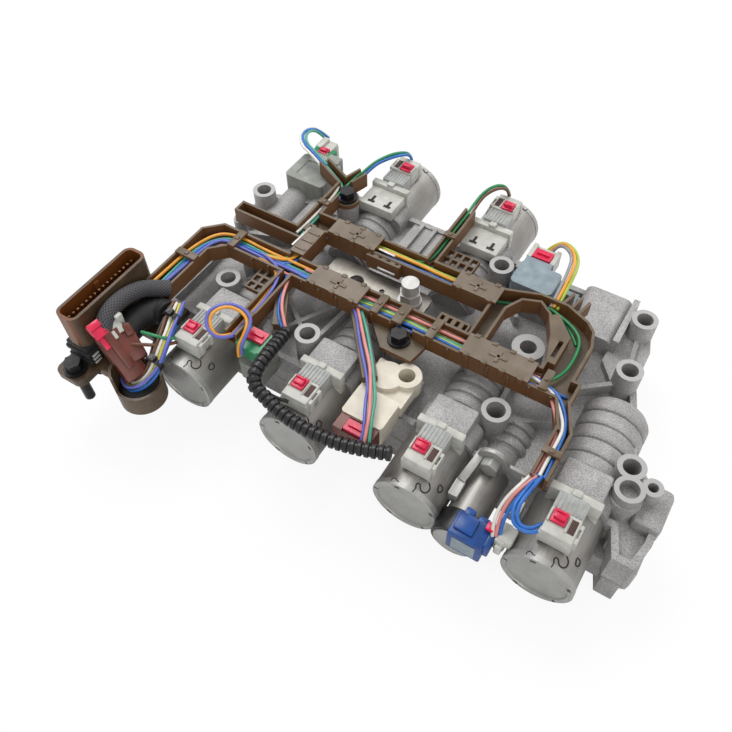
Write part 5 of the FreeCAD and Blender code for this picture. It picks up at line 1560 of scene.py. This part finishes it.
@dataclass
class SidePlug:
    """The two-colour plug of the side valve unit, with its own lock."""

    shell: Rows = (
        ((-143.8, 114.0, 46.5), (-132.6, 124.2, 56.9), 0.6, 1.2),
        ((-144.2, 120.6, 46.0), (-132.2, 124.2, 55.4), 0.5),
        ((-143.8, 113.0, 56.0), (-139.4, 124.2, 58.5), 0.4),
    )
    base: Rows = (
        ((-143.4, 106.6, 46.0), (-129.6, 114.4, 56.9), 0.7),
        ((-142.8, 107.4, 56.4), (-139.6, 113.2, 58.4), 0.4),
        ((-131.8, 107.4, 56.4), (-129.8, 113.4, 58.2), 0.4),
        ((-132.4, 114.0, 48.0), (-129.8, 118.6, 55.6), 0.5),
    )
    lock: Rows = (
        ((-138.8, 108.4, 57.0), (-132.6, 114.6, 58.6), 0.35),
        ((-138.0, 109.8, 58.4), (-133.4, 112.8, 60.2), 0.45),
    )

    def build(self) -> None:
        """Models the pale shell, the green base and the sliding lock."""
        settle(joined(blocks(self.shell), "side_plug_shell"), Palette.ivory, ("side_plug",))
        settle(joined(blocks(self.base), "side_plug_base"), Palette.green, ("side_plug",))
        lock = joined(blocks(self.lock), "side_lock_slide")
        settle(lock, Palette.red, ("side_lock",), body="side_lock")
        LOG.info("side plug")


@dataclass
class CornerCasting:
    """The rounded corner of the castings under the last solenoid's bolt bosses."""

    corner: Rows = (
        ((134, -31, 31), (148.2, -6, 46.4), 3.0),
        ((123.5, -47.5, 6), (147.6, -29.5, 27.5), 3.4),
        ((127.6, -42.5, 20), (146.6, -26.0, 36.6), 2.4),
        ((120, -34, 8), (136, -12, 27.5), 3.0),
    )
    tube_spot: Spot = (127.4, -22.1, 36.5)
    tube_radius: float = 8.3
    tube_length: float = 27.0

    def build(self) -> None:
        """Models the tall tube, the shoulder, the lower corner and the seal that shows in their gap."""
        parts = blocks(self.corner)
        tube = drum(self.tube_radius, self.tube_length, self.tube_spot)
        ease_edges(tube, 0.8)
        settle(joined([*parts, tube], "casting_corner"), Palette.casting)
        seal = eased_block((137.0, -33.6, 36.2), (146.8, -30.2, 37.6), 0.6)
        settle(joined([seal], "corner_seal"), Palette.olive)
        LOG.info("casting corner")


@dataclass
class SmallSolenoid:
    """The small solenoid's moulded head and plug, and the steel straps and screw of the cans."""

    x: float = 65.0
    z: float = 34.0
    screw_z: float = 49.4
    housing: Rows = (
        ((62.5, -81.4, 30.5), (80.5, -68.0, 46.6), 0.9),
        ((64.0, -78.6, 46.0), (74.0, -69.4, 48.4), 0.7),
        ((79.4, -79.2, 36.0), (83.2, -66.6, 46.2), 0.7),
        ((65.0, -70.0, 41.0), (70.0, -64.6, 46.4), 0.7),
        ((72.4, -70.0, 40.0), (78.0, -65.4, 46.0), 0.7),
    )
    shell: Rows = (
        ((83.0, -74.0, 36.6), (88.6, -62.4, 46.8), 1.4),
        ((83.6, -73.0, 41.0), (91.6, -63.4, 47.6), 1.6),
        ((84.4, -76.0, 37.4), (88.0, -73.0, 44.4), 0.8),
    )
    strap_middles: Span = (-78.0, -6.7)
    strap_half: float = 7.0

    def round_piece(self, radius: float, near: float, far: float, sides: int, z: float) -> bpy.types.Object:
        """A round or hexagonal piece along Y with eased ends.

        Args:
            radius: Its radius, in mm.
            near: The Y of its outer end, in mm.
            far: The Y of its inner end, in mm.
            sides: The number of its sides.
            z: The height of its axis, in mm.

        Returns:
            The new object.
        """
        piece = drum(radius, far - near, (self.x, (near + far) / 2, z), sides, along_y=True)
        ease_edges(piece, 0.5)
        return piece

    def head(self) -> None:
        """Models the dark drum, the blue housing on it and the grey panel of its end."""
        body = joined([self.round_piece(11.4, -80.0, -67.0, 48, self.z)], "small_head_drum")
        settle(body, Palette.black, ("small_solenoid_head",))
        end = joined([self.round_piece(9.8, -80.8, -79.6, 48, self.z)], "small_head_end")
        settle(end, Palette.cap)
        housing = joined(blocks(self.housing), "small_head_housing")
        settle(housing, Palette.blue, ("small_solenoid_head",))
        panel = eased_block((65.4, -82.0, 33.4), (77.6, -81.0, 44.0), 0.3, 0.8)
        settle(joined([panel], "small_head_panel"), Palette.blue_grey)

    def plug(self) -> None:
        """Models the plug beside the head, with its own small lock."""
        settle(joined(blocks(self.shell), "small_plug_shell"), Palette.ivory, ("small_solenoid_plug",))
        lock = joined([eased_block((77.4, -72.0, 46.8), (81.4, -67.6, 49.2), 0.5)], "small_lock_slide")
        settle(lock, Palette.red, ("small_solenoid_lock",), body="small_solenoid_lock")

    def straps(self) -> None:
        """Models the narrow straps with their end blocks, the flange and the hexagonal screw."""
        parts = [
            slanted_block((58.6, -35.6, 50.4), (55.6, -53.6, 45.2), 4.4, 1.8, 0.3),
            eased_block((53.0, -63.0, 38.0), (58.2, -53.0, 45.4), 0.6, 1.0),
            slanted_block((82.0, -35.6, 49.0), (85.4, -47.6, 45.0), 4.4, 1.8, 0.3),
            eased_block((82.8, -57.0, 38.0), (88.0, -47.2, 45.0), 0.6, 1.0),
            self.round_piece(8.6, -39.2, -36.4, 40, self.screw_z),
            eased_block((57.0, -38.4, 44.0), (84.0, -36.2, 51.0), 0.6),
        ]
        for x in self.strap_middles:
            left, right = x - self.strap_half, x + self.strap_half
            parts.append(eased_block((left, -39.0, 26.0), (right, -36.8, 47.0), 0.5))
            parts.append(eased_block((left, -50.0, 45.2), (right, -37.0, 47.0), 0.5, 2.4))
        settle(joined(parts, "strap_set"), Palette.cap, ("retaining_straps",))
        screw = self.round_piece(5.2, -44.4, -39.0, 6, self.screw_z)
        settle(joined([screw], "strap_screw"), Palette.cap)

    def build(self) -> None:
        """Makes the head, the plug and the straps."""
        self.head()
        self.plug()
        self.straps()
        LOG.info("small solenoid")


@dataclass
class Studio:
    """The camera at the photograph's angle, the pale floor, the lamps and the world."""

    centre: Spot = (112.478 * MM, -222.981 * MM, 374.451 * MM)
    lens: float = 36.722
    azimuth: float = 33.23
    elevation: float = 53.42
    roll: float = -1.55
    floor_side: float = 12.0
    paper: str = "#F4F4F4"
    air: str = "#F5F5F5"
    air_strength: float = 0.66
    aim: Spot = (0.0, 0.02, 0.03)

    def camera(self) -> None:
        """Makes the camera and hands it to the scene."""
        data = bpy.data.cameras.new("camera")
        data.lens = self.lens
        data.sensor_width = 36.0
        data.clip_start = 0.01
        data.clip_end = 50.0
        item = bpy.data.objects.new("camera", data)
        bpy.context.scene.collection.objects.link(item)
        turn, rise, roll = (math.radians(angle) for angle in (self.azimuth, self.elevation, self.roll))
        back = Vector((math.sin(turn) * math.cos(rise), -math.cos(turn) * math.cos(rise), math.sin(rise)))
        right = Vector((math.cos(turn), math.sin(turn), 0.0))
        up = back.cross(right)
        rolled_right = right * math.cos(roll) + up * math.sin(roll)
        rolled_up = up * math.cos(roll) - right * math.sin(roll)
        axes = Matrix((rolled_right, rolled_up, back)).transposed().to_4x4()
        item.matrix_world = Matrix.Translation(self.centre) @ axes
        bpy.context.scene.camera = item

    def lamp(self, name: str, spot: Spot, side: float, watts: float) -> None:
        """Hangs one square soft lamp that faces the object.

        Args:
            name: The lamp's name.
            spot: Where it hangs, in metres.
            side: The length of its side, in metres.
            watts: Its power.
        """
        data = bpy.data.lights.new(name, "AREA")
        data.size = side
        data.energy = watts
        item = bpy.data.objects.new(name, data)
        bpy.context.scene.collection.objects.link(item)
        item.location = spot
        item.rotation_euler = (Vector(self.aim) - item.location).to_track_quat("-Z", "Y").to_euler()

    def world(self) -> None:
        """A plain light from all round that cameras and mirrors see as white paper."""
        world = bpy.data.worlds.new("studio_air")
        world.use_nodes = True
        bpy.context.scene.world = world
        tree = world.node_tree
        tree.nodes.clear()
        path = add_node(tree, "ShaderNodeLightPath")
        seen = add_node(
            tree, "ShaderNodeMath", {"operation": "ADD", "use_clamp": True},
            links={0: path.outputs["Is Camera Ray"], 1: path.outputs["Is Glossy Ray"]},
        )
        seen = add_node(
            tree, "ShaderNodeMath", {"operation": "ADD", "use_clamp": True},
            links={0: seen.outputs["Value"], 1: path.outputs["Is Transmission Ray"]},
        )
        air = add_node(
            tree, "ShaderNodeBackground", values={"Color": linear(self.air), "Strength": self.air_strength}
        )
        paper = add_node(
            tree, "ShaderNodeBackground", values={"Color": linear("#FFFFFF"), "Strength": 1.0}
        )
        mix = add_node(
            tree, "ShaderNodeMixShader",
            links={0: seen.outputs["Value"], 1: air.outputs["Background"], 2: paper.outputs["Background"]},
        )
        add_node(tree, "ShaderNodeOutputWorld", links={"Surface": mix.outputs["Shader"]})

    def floor(self) -> None:
        """A white paper floor that keeps the object's soft shadow."""
        bpy.ops.mesh.primitive_plane_add(size=self.floor_side, location=(0, 0, -0.0002))
        floor = bpy.context.active_object
        floor.name = "paper_floor"
        made = bpy.data.materials.new("white_paper")
        made.use_nodes = True
        tree = made.node_tree
        tree.nodes.clear()
        path = add_node(tree, "ShaderNodeLightPath")
        share = add_node(
            tree, "ShaderNodeMath", {"operation": "MULTIPLY"}, {1: 0.9}, {0: path.outputs["Is Camera Ray"]}
        )
        matt = add_node(tree, "ShaderNodeBsdfDiffuse", values={"Color": linear(self.paper)})
        glow = add_node(
            tree, "ShaderNodeEmission", values={"Color": linear("#FFFFFF"), "Strength": 1.0}
        )
        mix = add_node(
            tree, "ShaderNodeMixShader",
            links={0: share.outputs["Value"], 1: matt.outputs["BSDF"], 2: glow.outputs["Emission"]},
        )
        add_node(tree, "ShaderNodeOutputMaterial", links={"Surface": mix.outputs["Shader"]})
        floor.data.materials.append(made)

    def build(self) -> None:
        """Sets up everything that isn't part of the object."""
        self.camera()
        self.world()
        self.floor()
        self.lamp("key_lamp", (-0.55, 0.35, 1.15), 0.7, 9.5)
        self.lamp("fill_lamp", (0.9, -0.7, 0.8), 0.9, 4.5)
        self.lamp("rim_lamp", (0.2, 1.1, 0.7), 0.6, 3.5)
        bpy.context.scene.view_settings.view_transform = "Standard"
        LOG.info("studio ready")


def main() -> None:
    """Builds the scene in order."""
    logging.basicConfig(level=logging.INFO, format="%(name)s: %(message)s")
    for item in list(bpy.context.selected_objects):
        item.select_set(False)
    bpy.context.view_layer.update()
    Studio().build()
    dress_nodes()
    Harness().build()
    FrameTrim().build()
    CaseConnector().build()
    CornerCasting().build()
    SmallSolenoid().build()
    SidePlug().build()
    rows = (
        ("front", (-106.5, -35.2, 36.1, 107.4), -37.0, -75.0, -1),
        ("back", (-78.0, -6.0), 100.0, 138.0, 1),
    )
    for side, places, face, end, way in rows:
        for number, x in enumerate(places, 1):
            name = f"{side}_{number}"
            CanEnd(name, x, end, way).build()
            SolenoidHead(name, x, face, way).build()
            ReturnSpring(name, x, face, way).build()


if __name__ == "__main__":
    main()
